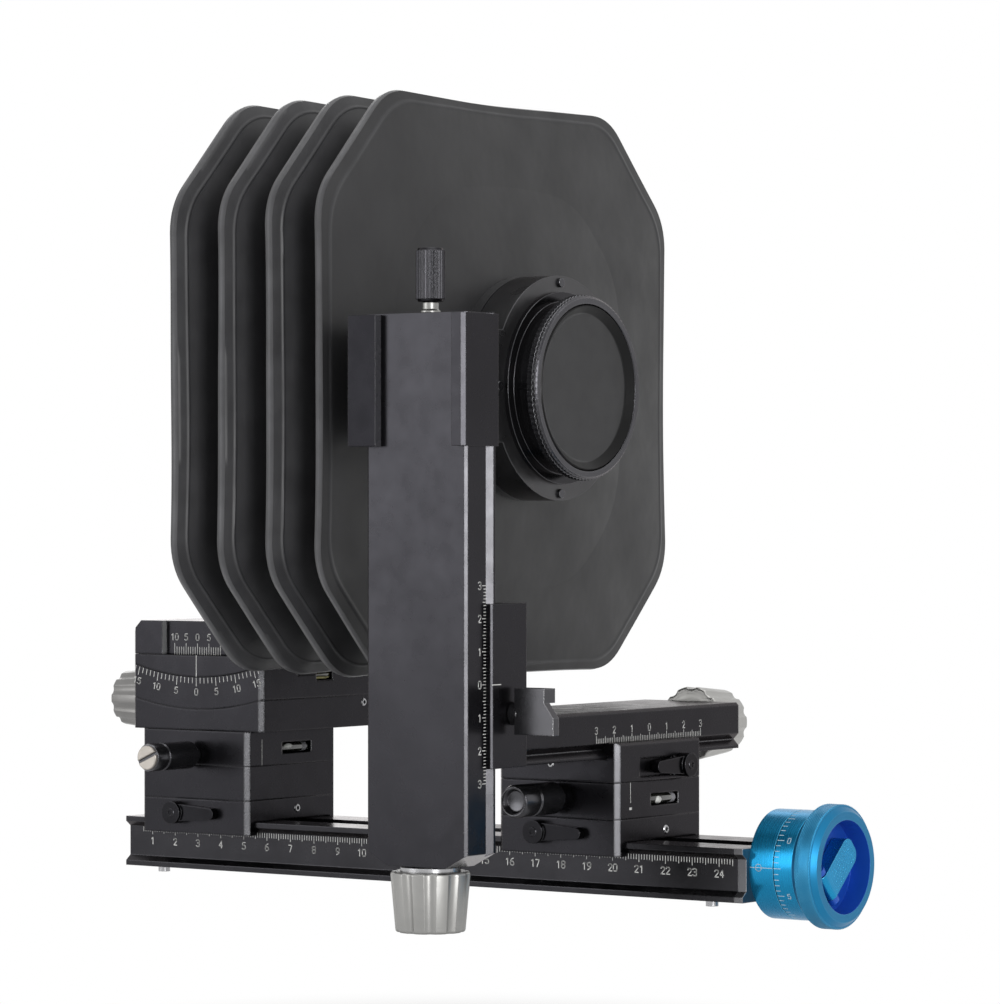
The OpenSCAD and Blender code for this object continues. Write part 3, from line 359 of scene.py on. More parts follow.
@dataclass(frozen=True)
class Turned(Coat):
    """Metal turned on a lathe, with fine rings round one axis and, where given, a painted reflection in a
    dish: a brighter, less metallic blue that stands for its walls reflecting each other.
    """

    colour: RGB
    rough: float = 0.26
    metallic: float = 1.0
    axis: int = 0
    centre: Point = (0.0, 0.0, 0.0)
    ring: float = 3200.0
    # paler edges: a painted highlight along the turned edges
    edge: RGB | None = None
    # painted reflection: the dish's blue as its walls reflect each other
    inner: RGB | None = None
    inner_radius: float = 0.01465
    inner_metallic: float = 0.35

    def paint(self, g: Surface) -> None:
        """Adds rings round the axis, along it on the side and across it on an end face.

        Args:
            g: the graph.
        """
        rounded, edge = g.edges(0.0003)
        edge = g.product(edge, g.mottle(300.0, 4.0, 0.5, 0.9))
        parts = g.around(self.centre)
        radius = g.reach(*[parts[i] for i in range(3) if i != self.axis])
        rings = g.add("CombineXYZ", {0: parts[self.axis], 1: radius}).outputs[0]
        line = g.add("TexNoise", {"Vector": rings, "Scale": self.ring, "Detail": 2.0}).outputs["Fac"]
        base = g.blend(g.mottle(120.0, 4.0), self.colour, shade(self.colour, 1.12))
        g.set(Metallic=self.metallic)
        # painted reflection inside the dish
        if self.inner is not None:
            inside = g.math("LESS_THAN", radius, self.inner_radius)
            base = g.blend(inside, base, self.inner)
            edge = g.product(edge, g.math("SUBTRACT", 1.0, inside))
            g.set(Metallic=g.ramp(inside, 0.0, 1.0, self.metallic, self.inner_metallic))
        # painted highlight along the turned edges
        if self.edge is not None:
            base = g.blend(edge, base, self.edge)
        g.set(Base_Color=base, Roughness=g.ramp(line, 0.3, 0.7, self.rough - 0.06, self.rough + 0.08))
        g.bump(line, 0.000008, 0.5, rounded)


@dataclass(frozen=True)
class CoatedCloth(Coat):
    """Thin coated cloth of the bellows: a fine weave under a satin coat, paler along its folds, partly wear
    and partly a painted highlight on the fold crests.
    """

    colour: RGB = (0.0180, 0.0178, 0.0192)
    # paler fold colour: partly wear, partly a painted highlight on the rounded crests
    worn: RGB = (0.080, 0.080, 0.086)
    weave: float = 1500.0

    def paint(self, g: Surface) -> None:
        """Adds the weave, slow creases, upright streaks and the paler folds that the fold attribute gives,
        partly wear and partly painted highlight.

        Args:
            g: the graph.
        """
        fold = g.add("Attribute", attribute_name="fold").outputs["Fac"]
        # fold mark: wear and a painted highlight along the crests
        rub_and_sheen = g.product(fold, g.mottle(110.0, 5.0, 0.45, 1.0))
        streaks = g.product(g.noise(14.0, 5.0), g.noise(60.0, 3.0, (1.0, 1.0, 0.12)))
        base = g.blend(g.ramp(streaks, 0.12, 0.40), shade(self.colour, 0.62), self.colour)
        g.set(Base_Color=g.blend(rub_and_sheen, base, self.worn), Roughness=g.mottle(60.0, 4.0, 0.38, 0.52))
        g.set(Specular_IOR_Level=0.42, Sheen_Weight=0.06, Sheen_Roughness=0.4)
        _, y, z = g.parts(g.place)
        waves = [g.math("SINE", g.product(part, TURN * self.weave)) for part in (y, z)]
        crease = g.product(g.noise(22.0, 4.0), 45.0)
        g.bump(g.math("ADD", g.product(g.product(*waves), 0.35), crease), 0.00003, 0.8)


@dataclass(frozen=True)
class Paint(Coat):
    """Paint wiped into an engraved line."""

    colour: RGB = (0.72, 0.72, 0.70)

    def paint(self, g: Surface) -> None:
        """Adds a matt fill with slightly uneven cover."""
        g.set(Base_Color=g.blend(g.mottle(900.0, 3.0), self.colour, shade(self.colour, 0.72)), Roughness=0.6)
        g.bump(g.noise(4000.0, 2.0), 0.00001, 0.4)


@dataclass(frozen=True)
class Plastic(Coat):
    """Moulded plastic of the dust cap, with a spark-eroded grain and a painted shade of its recess as a
    darker, duller rim round its disc.
    """

    colour: RGB
    rough: float = 0.4
    disc: float = 0.0240
    # moves the painted shade's centre towards -Y, so the dark rim is wider towards +Y, as a recess's shaded
    # wall
    disc_y: float = -0.0013

    def paint(self, g: Surface) -> None:
        """Adds the grain, paler edges that are partly wear and partly painted highlight, and the painted
        shade beyond the disc.

        Args:
            g: the graph.
        """
        rounded, edge = g.edges(0.0004)
        cloud = g.mottle(70.0, 4.0, 0.0, 0.35)
        _, y, z = g.around((0.0, self.disc_y, AXIS_Z * MM))
        # painted shade: the darker, duller ring beyond the disc stands for the shade in the cap's recess
        rim = g.ramp(g.reach(y, z), self.disc, self.disc + 0.0003)
        # paler cloud and edges: random tone, and edges that are partly wear, partly painted highlight
        base = g.blend(g.math("MAXIMUM", cloud, g.product(edge, 0.6)), self.colour, shade(self.colour, 2.4))
        g.set(Base_Color=g.blend(rim, base, shade(self.colour, 0.25)))
        g.set(Specular_IOR_Level=g.ramp(rim, 0.0, 1.0, 0.38, 0.18))
        g.set(Roughness=g.mottle(200.0, 4.0, self.rough - 0.05, self.rough + 0.08))
        g.bump(g.noise(3500.0, 2.0), 0.00001, 0.4, rounded)


@dataclass(frozen=True)
class VialGlass(Coat):
    """Acrylic of a bubble level with its tinted spirit, painted dark for the shade of the slot behind it."""

    # painted shade: the dark slot seen through the clear tube
    colour: RGB = (0.011, 0.0115, 0.010)
    streak: RGB = (0.030, 0.030, 0.024)

    def paint(self, g: Surface) -> None:
        """Adds clear gloss over a body painted dark for the slot's shade, with paler streaks along it."""
        g.set(Base_Color=g.blend(g.mottle(900.0, 2.0, 0.0, 0.8, (1.0, 0.1, 1.0)), self.colour, self.streak))
        g.set(Roughness=0.06, Coat_Weight=0.8, Coat_Roughness=0.03, IOR=1.49)


# brighter, wider edges of the blocks: partly wear, partly a painted highlight
BLOCK_WEAR_AND_HIGHLIGHT = {"edge": (0.20, 0.20, 0.207), "edge_radius": 0.0008, "flat_edges": 0.12}


class Finish(Enum):
    """The finishes of the camera."""

    # bevel in these finishes is a painted highlight on the bevels between the -Y and +X sides
    BLACK = Anodised("black_anodised")
    BLOCK = Anodised("block_anodised", (0.0230, 0.0226, 0.0258), bevel=(0.090, 0.090, 0.096), **BLOCK_WEAR_AND_HIGHLIGHT)
    # side is painted light along the seam between cross slide and saddle
    CROSS = Lipped("cross_slide_anodised", (0.0215, 0.0211, 0.0243), bevel=(0.095, 0.095, 0.101),
                   window_x=-0.10615, lip=(0.0215, 0.0211, 0.0243), side=(0.45, 0.45, 0.46), **BLOCK_WEAR_AND_HIGHLIGHT)
    KNOB = Anodised("knob_anodised", (0.085, 0.085, 0.092), (0.20, 0.20, 0.21), rough=0.24, flat_edges=1.0)
    # lip is painted shade on the lens carriage's lip
    CARRIAGE = Lipped("carriage_anodised", bevel=(0.04, 0.0395, 0.044))
    RAIL = Anodised("rail_anodised", (0.031, 0.0306, 0.034), rough=0.24, flat_edges=0.8)
    # under is a painted highlight along the column's foot
    COLUMN = Anodised("column_anodised", (0.029, 0.0286, 0.0325), bevel=(0.058, 0.0575, 0.062),
                      under=(0.60, 0.60, 0.61), rough=0.25, flat_edges=0.8)
    # painted light: the lens arm and bracket are black anodised, given a paler colour to lift them out of the
    # column's shade
    ARM = Anodised("arm_anodised", (0.09, 0.09, 0.093), rough=0.3, flat_edges=0.6)
    WING = Anodised("wing_anodised", (0.085, 0.0845, 0.091), (0.42, 0.42, 0.43), rough=0.24, flat_edges=1.0)
    LEVER = Anodised("lever_anodised", (0.016, 0.0158, 0.018), (0.06, 0.06, 0.065), rough=0.2, flat_edges=1.0)
    GLOSS = Anodised("bright_black", (0.040, 0.040, 0.043), (0.13, 0.13, 0.14), rough=0.18, flat_edges=1.0)
    GRAPHITE = Anodised("graphite_knurl", (0.045, 0.045, 0.048), (0.11, 0.11, 0.115), rough=0.22,
                        flat_edges=0.8)
    PLATE = Anodised("end_plate_grey", (0.13, 0.13, 0.138), (0.3, 0.3, 0.31), rough=0.3, flat_edges=1.0)
    # edge colours of the blue parts are a painted highlight along their turned edges
    BLUE = Turned("blue_anodised", (0.010, 0.235, 0.46), 0.27, 0.85, centre=(0.0, 0.0, FOCUS_Z * MM),
                  edge=(0.16, 0.58, 0.82))
    # inner is a painted reflection of the dish's walls in each other
    BLUE_DISH = Turned("blue_dished_knob", (0.009, 0.160, 0.325), 0.36, 0.8, centre=(0.0, 0.0, FOCUS_Z * MM),
                       edge=(0.12, 0.46, 0.68), inner=(0.010, 0.085, 0.46))
    SILVER = Turned("satin_camera_ring", (0.36, 0.357, 0.345), 0.36, centre=(0.0, 0.0, AXIS_Z * MM))
    # painted shade: the tilt and rise knobs are darker copies of the same satin silver
    SILVER_TILT = Turned("satin_tilt_knob", (0.19, 0.187, 0.183), 0.38, centre=(0.0, 0.0, TILT_Z * MM))
    SILVER_SHIFT = Turned("satin_shift_knob", (0.36, 0.357, 0.345), 0.36, axis=1,
                          centre=(FRONT_X * MM, 0.0, SHIFT_Z * MM))
    SILVER_RISE = Turned("satin_rise_knob", (0.28, 0.278, 0.270), 0.36, axis=2,
                         centre=(FRONT_X * MM, RISE_Y * MM, 0.0))
    STEEL = Turned("ground_steel", (0.36, 0.36, 0.37), 0.28)
    CREAM = Turned("pale_end_disc", (0.36, 0.335, 0.305), 0.42, 0.7, axis=1,
                   centre=(REAR_KNOB[0] * MM, 0.0, REAR_KNOB[1] * MM))
    BRASS = Turned("turned_brass", (0.50, 0.40, 0.24), 0.32, axis=2)
    CLOTH = CoatedCloth("bellows_cloth")
    PAINT = Paint("engraving_paint")
    BLUE_PAINT = Paint("dial_paint", (0.55, 0.70, 0.78))
    CAP = Plastic("cap_plastic", (0.0085, 0.0085, 0.0095), 0.34)
    VIAL = VialGlass("level_acrylic")
    TINTED = VialGlass("tinted_acrylic", (0.030, 0.028, 0.009), (0.06, 0.054, 0.016))
    # painted highlight: the bubble's near white stands for its glint
    BUBBLE = Paint("level_bubble_glint", (0.80, 0.81, 0.78))
    # painted highlight: the pale strip along the top of the tilt level's spirit
    STRIP = Paint("level_highlight_strip", (0.50, 0.46, 0.20))
    PLUG = Paint("level_plug", (0.30, 0.30, 0.32))


# Meshes


def circle(steps: int) -> Array:
    """Returns the angles of evenly spaced points round a circle."""
    return np.linspace(0.0, TURN, steps, endpoint=False)


def unit(vectors: Array) -> Array:
    """Returns the vectors at length 1."""
    return vectors / np.maximum(np.linalg.norm(vectors, axis=-1, keepdims=True), 1e-9)


def grid_quads(rows: int, columns: int, round_rows: bool = False) -> Array:
    """Faces of a grid of points stored row by row, whose rows are closed.

    Args:
        rows: number of rows.
        columns: number of points in a row.
        round_rows: whether the last row joins the first.

    Returns:
        Array of four indices per face.
    """
    i, j = np.meshgrid(np.arange(rows - (not round_rows)), np.arange(columns), indexing="ij")
    here, down, right = i * columns, (i + 1) % rows * columns, (j + 1) % columns
    return np.stack([here + j, here + right, down + right, down + j], -1).reshape(-1, 4)


@dataclass
class Shape:
    """A closed mesh in millimetres: four-sided faces, and flat ends as lists of point numbers."""

    points: Array
    quads: Array
    ends: list[list[int]] = field(default_factory=list)

    def outward(self) -> "Shape":
        """Turns the faces outwards, by the sign of the volume: the sum over all triangles of a . (b x c) / 6.

        Returns:
            The shape.
        """
        fans = [[e[0], e[k], e[k + 1]] for e in self.ends for k in range(1, len(e) - 1)]
        parts = [self.quads[:, [0, 1, 2]], self.quads[:, [0, 2, 3]]] + ([np.array(fans)] if fans else [])
        t = self.points[np.concatenate(parts)]
        if np.einsum("ij,ij->i", t[:, 0], np.cross(t[:, 1], t[:, 2])).sum() < 0:
            return Shape(self.points, self.quads[:, ::-1], [e[::-1] for e in self.ends])
        return self

    def placed(self, normal: Vector, at: Vector, lean: float = 0.0) -> "Shape":
        """Moves a shape drawn along X.

        Args:
            normal: direction that the shape's X takes.
            at: place of the origin.
            lean: degrees that the shape is turned round that direction.

        Returns:
            The moved shape.
        """
        n = unit(np.array(normal, float))
        side = unit(np.cross(UP if abs(n[2]) < 0.9 else TO_FAR_SIDE, n))
        up = np.cross(n, side)
        c, s = math.cos(math.radians(lean)), math.sin(math.radians(lean))
        axes = np.array([n, side * c + up * s, up * c - side * s])
        return Shape(self.points @ axes + np.array(at, float), self.quads, self.ends).outward()


def joined(shapes: Iterable[Shape]) -> Shape:
    """Puts several shapes into one mesh.

    Args:
        shapes: the shapes.

    Returns:
        One shape.
    """
    points, quads, ends, n = [], [], [], 0
    for shape in shapes:
        points.append(shape.points)
        quads.append(shape.quads + n)
        ends += [[i + n for i in e] for e in shape.ends]
        n += len(shape.points)
    return Shape(np.concatenate(points), np.concatenate(quads), ends)


def loft(rings: Array, ring: bool = False) -> Shape:
    """Skins a run of closed rings.

    Args:
        rings: array (rings, points, 3).
        ring: whether the last ring joins the first, instead of flat ends.

    Returns:
        The shape, faces outwards.
    """
    n, m = rings.shape[:2]
    ends = [] if ring else [list(range(m))[::-1], list(range((n - 1) * m, n * m))]
    return Shape(rings.reshape(-1, 3), grid_quads(n, m, ring), ends).outward()


def turned(profile: Sequence[Vector], steps: int = 64, ring: bool = False,
           ripple: Callable[[Array, Array], Array] | None = None) -> Shape:
    """Turns an outline of (distance, radius) round the X axis: (x, r cos a, r sin a) for every angle a.

    Args:
        profile: rows of distance along X and radius.
        steps: number of points round the axis.
        ring: whether the outline is closed, as for a hollow ring, instead of ending in two flat faces.
        ripple: change of the radius as a function of distance and angle, both arrays.

    Returns:
        The shape.
    """
    rows = np.array(profile, float)
    x, r = rows[:, :1], rows[:, 1:2]
    a = circle(steps)[None, :]
    radius = r + (ripple(x, a) if ripple is not None else 0.0 * a)
    return loft(np.stack([x + 0.0 * a, radius * np.cos(a), radius * np.sin(a)], -1), ring)


def triangle_wave(t: Array) -> Array:
    """Returns the wave that climbs from 0 to 1 and falls back once per unit of t."""
    return 1.0 - np.abs(2.0 * (t - np.floor(t)) - 1.0)


@dataclass
class Piece:
    """One finished piece: its mesh, its finish, the angle from which edges are sharp, and its attributes."""

    name: str
    shape: Shape
    finish: Finish
    smooth: float | None
    attributes: dict[str, Array] = field(default_factory=dict)

    def build(self) -> bpy.types.Object:
        """Makes the object from the shape.

        Returns:
            The new object, at the origin.
        """
        mesh = bpy.data.meshes.new(self.name)
        faces = self.shape.quads.tolist() + self.shape.ends
        mesh.from_pydata((self.shape.points * MM).tolist(), [], faces, shade_flat=self.smooth is None)
        for key, values in self.attributes.items():
            layer = mesh.attributes.new(key, "FLOAT", "POINT")
            layer.data.foreach_set("value", np.asarray(values, np.float32))
        if self.smooth is not None:
            mesh.set_sharp_from_angle(angle=math.radians(self.smooth))
        obj = bpy.data.objects.new(self.name, mesh)
        bpy.context.scene.collection.objects.link(obj)
        mesh.materials.append(self.finish.value.material())
        return obj

    def on(self, body: str, replaces: str | None = None) -> None:
        """Builds the piece and lets it ride on a body.

        Args:
            body: name of the body.
            replaces: node that the piece stands for.
        """
        obj = self.build()
        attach(obj, body)
        if replaces:
            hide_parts(replaces)
        LOG.info("%s rides on %s", self.name, body)


# Engraving

DIGITS = {
    "0": "10,0 50,0 60,15 60,85 50,100 10,100 0,85 0,15 10,0",
    "1": "12,80 35,100 35,0",
    "2": "0,80 10,96 30,100 50,96 60,80 58,62 0,0 60,0",
    "3": "0,90 15,100 45,100 60,87 60,67 45,53 25,53|45,53 60,40 60,13 45,0 15,0 0,10",
    "4": "45,0 45,100 0,30 60,30",
    "5": "55,100 8,100 3,55 20,62 42,62 60,48 60,15 43,0 15,0 0,10",
    "6": "50,100 20,88 0,55 0,15 15,0 45,0 60,15 60,40 45,55 15,55 0,40",
    "7": "0,100 60,100 22,0",
    "8": "15,53 0,68 0,87 13,100 47,100 60,87 60,68 45,53 15,53 0,37 0,13 15,0 45,0 60,13 60,37 45,53",
    "9": "10,0 40,12 60,45 60,85 45,100 15,100 0,85 0,60 15,45 45,45 60,60",
}
DIGIT_WIDTH = 0.6
DIGIT_STEP = 0.86
DIGIT_STROKE = 0.14


def strokes(digit: str) -> list[Array]:
    """Returns the strokes of a digit, which are written in hundredths of its height, split by bars."""
    return [np.array([p.split(",") for p in run.split()], float) / 100.0 for run in DIGITS[digit].split("|")]


@dataclass
class Engraving:
    """Engraved and painted lines of one body, each a flat bar sunk into the face it lies on."""

    name: str
    body: str
    finish: Finish = Finish.PAINT
    width: float = 0.22
    proud: float = 0.025
    sunk: float = 0.05
    rows: list[Array] = field(default_factory=list)

    def line(self, start: Array, end: Array, normal: Vector, width: float | None = None) -> None:
        """Adds straight lines on one face.

        Args:
            start: first points, one row each.
            end: last points.
            normal: outward normal of the face, or one row per line.
            width: width of the lines, or the engraving's own.
        """
        start = np.atleast_2d(np.asarray(start, float))
        normals = np.broadcast_to(np.asarray(normal, float), start.shape)
        widths = np.full((len(start), 1), self.width if width is None else width)
        self.rows.append(np.hstack([start, np.atleast_2d(end), normals, widths]))

    def ticks(self, zero: Vector, step: Vector, values: Array, reach: Vector, lengths: Array, normal: Vector,
              width: float | None = None) -> None:
        """Adds a straight scale: value n has its foot at zero + n * step, and its tick points along reach."""
        foot = np.array(zero, float) + values[:, None] * np.array(step, float)
        self.line(foot, foot + lengths[:, None] * np.array(reach, float), normal, width)

    def number(self, value: int, at: Vector, right: Vector, up: Vector, size: float) -> None:
        """Adds a number centred on a point.

        Args:
            value: the number, drawn without a sign.
            at: centre of the number.
            right: direction of reading.
            up: direction of the digits' height.
            size: height of a digit.
        """
        right, up, at = (np.asarray(v, float) for v in (right, up, at))
        digits = str(abs(value))
        left = -(DIGIT_STEP * (len(digits) - 1) + DIGIT_WIDTH) / 2.0
        for k, digit in enumerate(digits):
            for stroke in strokes(digit):
                flat = (stroke + [left + DIGIT_STEP * k, -0.5]) * size
                points = at + flat[:, :1] * right + flat[:, 1:] * up
                self.line(points[:-1], points[1:], np.cross(right, up), size * DIGIT_STROKE)

    def numbers(self, values: Iterable[int], zero: Vector, step: Vector, right: Vector, size: float) -> None:
        """Adds upright numbers along a straight scale, number n centred on zero + n * step."""
        for n in values:
            self.number(n, np.array(zero, float) + n * np.array(step, float), right, UP, size)

    def cut(self) -> None:
        """Makes one mesh of flat bars, each its line widened across and along the face, on the body."""
        table = np.concatenate(self.rows)
        a, b, n, w = table[:, :3], table[:, 3:6], table[:, 6:9], table[:, 9:]
        along = unit(b - a) * w / 2.0
        side = np.cross(n, along)
        corners = [a - along - side, b + along - side, b + along + side, a - along + side]
        points = np.stack([c - n * self.sunk for c in corners] + [c + n * self.proud for c in corners], 1)
        cube = np.array([[3, 2, 1, 0], [4, 5, 6, 7], [0, 1, 5, 4], [1, 2, 6, 5], [2, 3, 7, 6], [3, 0, 4, 7]])
        faces = (np.arange(len(a)) * 8)[:, None, None] + cube[None]
        shape = Shape(points.reshape(-1, 3), faces.reshape(-1, 4)).outward()
        Piece(self.name, shape, self.finish, None).on(self.body)


# Bellows


@dataclass
class Bellows:
    """Pleated octagonal bellows, cut into pieces that each bend across one joint.

    Every ring is a rounded octagon. Its half width and height, its place along X and the share of a circle
    in its shape are functions of the run along the skin, so the pieces meet ring by ring.
    """

    fold_y: float = 96.3
    fold_z: float = 93.3
    cut: float = 34.0
    rounding: float = 9.0
    depth: float = 26.0
    valley: float = 0.35
    taper: float = 0.5
    band: float = 1.4
    rear_x: float = -60.65
    rim: tuple[float, ...] = (-56.95, 45.4, 45.4, 16.8, 3.0, 0.0, 0.0, 0.0)
    first_fold: float = -42.25
    last_fold: float = 17.2
    folds: int = 4
    middle: tuple[float, ...] = (22.3, 64.0, 66.5, 26.0, 14.0, 0.35, 0.3, 0.0)
    collar: tuple[float, ...] = (26.0, 36.5, 36.5, 18.0, 5.0, 1.0, 0.0, 0.0)
    front_x: float = 29.7
    skin: float = 0.9
    side_points: int = 16
    corner_points: int = 9
    sag: float = 0.8
    wall_rows: int = 26
    bow: float = 0.9
    hem: float = 0.13
    ridge: float = 0.3
    hem_width: float = 0.014
    hem_mark: float = 0.42
    waver: float = 0.15
    loose_from: float = 62.0
    wall_shares: tuple[float, ...] = (0.134, 0.336, 0.498)

    def outline(self, a: Array, b: Array, cut: Array, rounding: Array, share: Array, sag: Array) -> Array:
        """Points round each ring.

        A side runs between two corners, and a corner is a quadratic curve whose ends lie `rounding` along its
        sides. The share moves each point towards the circle of radius (a + b) / 2 at its angle.

        Args:
            a: half width of each ring.
            b: half height.
            cut: length of the corner cut along Y and Z.
            rounding: length of side that a rounded corner takes.
            share: share of the circle, 0 to 1.
            sag: how far the middle of a long side lies inside its chord.

        Returns:
            Array (rings, points, 2) of Y and Z.
        """
        u, v = a - cut, b - cut
        p = np.stack([a, v, u, b, -u, b, -a, v, -a, -v, -u, -b, u, -b, a, -v], -1).reshape(-1, 8, 2)
        following = np.roll(p, -1, 1)
        to_last, to_next = unit(np.roll(p, 1, 1) - p), unit(following - p)
        r = rounding[:, None, None]
        bends = (p + to_last * r, p + to_next * r, following - to_next * r)
        start, stop, other = (bend[:, :, None] for bend in bends)
        s = np.linspace(0.0, 1.0, self.corner_points)[:, None]
        corner = start * (1 - s) ** 2 + 2 * s * (1 - s) * p[:, :, None] + s**2 * stop
        s = np.linspace(0.0, 1.0, self.side_points + 2)[1:-1, None]
        hang = (sag[:, None] * (np.arange(8) % 2))[..., None, None] * 4.0 * s * (1 - s)
        side = stop * (1 - s) + s * other + hang * unit(-(p + following) / 2.0)[:, :, None]
        flat = np.concatenate([corner, side], 2).reshape(len(a), -1, 2)
        angle = np.arctan2(flat[..., 1], flat[..., 0])
        ring = ((a + b) / 2.0)[:, None, None] * np.stack([np.cos(angle), np.sin(angle)], -1)
        share = share[:, None, None]
        return flat * (1 - share) + ring * share

    def fold(self, i: int, x: float, inset: float = 0.0, worn: float = 0.0) -> list[float]:
        """Gives the ring of a fold.

        Args:
            i: number of the fold from the rear.
            x: place along X.
            inset: how far the ring lies inside the fold's edge.
            worn: fold mark.

        Returns:
            Row of (x, half width, half height, cut, rounding, circle, sag, fold mark).
        """
        narrow = self.taper * (self.folds - 1 - i) + inset
        cut = self.cut - inset * (2 - math.sqrt(2))
        return [x, self.fold_y - narrow, self.fold_z - narrow, cut, self.rounding, 0.0,
                self.sag * (1 - inset / self.depth), worn]

    def run(self, start: Vector, end: Vector, n: int, bow: float = 0.0, hem: float = 0.0,
            ridge: float = 0.0) -> Array:
        """Rings from one to the next, without the last.

        Args:
            start: row of the first ring.
            end: row of the ring after the last.
            n: number of steps.
            bow: how far the middle is bowed along X.
            hem: share of the run at which a raised line of wear lies, as the sewn edge of a stiffener.
            ridge: height of that line, 0 for none.

        Returns:
            One row per ring.
        """
        s = np.linspace(0.0, 1.0, n + 1)[:-1]
        if ridge:
            s = np.unique(np.concatenate([s, hem + 0.012 * np.arange(-3, 4)]))
        rows = np.array(start, float) * (1 - s[:, None]) + np.array(end, float) * s[:, None]
        bump = np.exp(-(((s - hem) / self.hem_width) ** 2)) * (ridge != 0.0)
        rows[:, 0] += bow * 4.0 * s * (1 - s) + ridge * bump
        rows[:, 7] = np.maximum(rows[:, 7], self.hem_mark * bump)
        return rows

    def stations(self) -> tuple[Array, dict[str, int]]:
        """Rings along the outer skin from the rear rim to the front collar.

        Returns:
            One row per ring, and the row number of each ring at which one piece ends and the next begins.
        """
        rows: list[Array] = []
        marks: dict[str, int] = {}

        def mark(name: str) -> None:
            """Notes that a piece begins at the next row."""
            marks[name] = sum(len(r) for r in rows)

        fold, run = self.fold, self.run
        last = self.folds - 1
        pitch = (self.last_fold - self.first_fold) / last
        rim = self.rim
        mark("start")
        rows.append(run([self.rear_x, *rim[1:]], rim, 4))
        first = fold(0, self.first_fold - self.band)
        wall = [np.array(rim) * (1 - s) + np.array(first) * s for s in self.wall_shares]
        for name, a, b in zip((None, "cross", "tilt", "swing"), [rim, *wall], [*wall, first]):
            if name:
                mark(name)
            rows.append(run(a, b, 9))
        mark("travel")
        for i in range(self.folds):
            x = self.first_fold + pitch * i
            crest = fold(i, x, -0.35, 1.0)
            front = fold(i, x + self.band, 0.0, 0.35)
            rows.append(run(fold(i, x - self.band, 0.0, 0.35), crest, 3))
            if i == last:
                mark("pleat")
            rows.append(run(crest, front, 3))
            if i == last - 1:
                mark("focus")
            if i < last:
                low = fold(i, x + pitch / 2 - self.valley, self.depth)
                rising = fold(i + 1, x + pitch / 2 + self.valley, self.depth)
                back = fold(i + 1, x + pitch - self.band, 0.0, 0.35)
                rows.append(run(front, low, self.wall_rows, self.bow, self.hem, self.ridge))
                rows.append(run(low, rising, 2))
                rows.append(run(rising, back, self.wall_rows, -self.bow, 1.0 - self.hem, -self.ridge))
        rows.append(run(fold(last, self.last_fold + self.band), self.middle, self.wall_rows, 0.4, 0.10, 0.25))
        mark("shift")
        rows.append(run(self.middle, self.collar, 16, 0.4))
        s = np.linspace(0.0, 1.0, 4)[:, None]
        rows.append(np.array(self.collar) * (1 - s) + np.array([self.front_x, *self.collar[1:]]) * s)
        mark("end")
        return np.concatenate(rows), marks

    def skins(self) -> tuple[Array, Array, Array, dict[str, int]]:
        """Outer and inner skin as ring grids.

        The outer skin wavers a little: its place along X and its reach are moved by sines of the angle round
        the axis, which grow from nothing near the axis to full size at the folds. The inner skin lies `skin`
        inside it along the normal, the cross product of the two directions of the grid.

        Returns:
            Outer points, inner points, the fold mark and the piece marks.
        """
        rows, marks = self.stations()
        ring = self.outline(*rows[:, 1:7].T)
        outer = np.concatenate([np.broadcast_to(rows[:, None, :1], (*ring.shape[:2], 1)), ring], -1)
        loose = np.clip((np.hypot(outer[..., 1], outer[..., 2]) - self.loose_from) / 30.0, 0.0, 1.0)
        angle = np.arctan2(outer[..., 2], outer[..., 1])
        phase = outer[..., 0] / 7.3
        wave = np.sin(2 * angle + phase) + 0.6 * np.sin(5 * angle + 1.7 * phase)
        outer[..., 0] += self.waver * loose * wave
        outer[..., 1:] *= (1.0 + 0.0022 * loose * np.sin(7 * angle + 2.3 * phase))[..., None]
        outer[..., 2] += AXIS_Z
        around = np.roll(outer, -1, 1) - np.roll(outer, 1, 1)
        normal = unit(np.cross(around, np.gradient(outer, axis=0)))
        from_axis = (outer - [0.0, 0.0, AXIS_Z]) * [0.0, 1.0, 1.0]
        normal *= 1.0 if np.einsum("ijk,ijk->ij", normal, from_axis).mean() > 0 else -1.0
        fold = np.broadcast_to(rows[:, None, 7], ring.shape[:2])
        return outer, outer - normal * self.skin, fold, marks

    def build(self) -> None:
        """Builds the pieces and bends each across its joint."""
        outer, inner, fold, marks = self.skins()
        order = ["start", "cross", "tilt", "swing", "travel", "focus", "pleat", "shift", "end"]
        bodies = ["rear_standard", "rear_cradle", "rear_turntable", "rear_base", "base", "front_base",
                  "front_turntable", "cross_bar", "front_standard"]
        names = ["rear_collar", "rear_cone", "rear_cone_edge", "rear_lip", "pleats", "front_pleat",
                 "front_panel", "front_collar"]
        for name, a, b, one, two in zip(names, bodies, bodies[1:], order, order[1:]):
            i, j = marks[one], marks[two] + (two != "end")
            out, worn = outer[i:j], fold[i:j]
            marked = np.concatenate([worn.reshape(-1), worn[::-1].reshape(-1)])
            shape = loft(np.concatenate([out, inner[i:j][::-1]]), ring=True)
            obj = Piece("bellows_" + name, shape, Finish.CLOTH, 50.0, {"fold": marked}).build()
            x0, x1 = max(float(out[0, 0, 0]), self.rim[0]), min(float(out[-1, 0, 0]), self.collar[0])
            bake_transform(obj, a, b, start=(x0 * MM, 0.0, AXIS_Z * MM), end=(x1 * MM, 0.0, AXIS_Z * MM))
            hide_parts("bellows")
            LOG.info("bellows_%s bends from %s to %s", name, a, b)


# Screws, knobs and levels


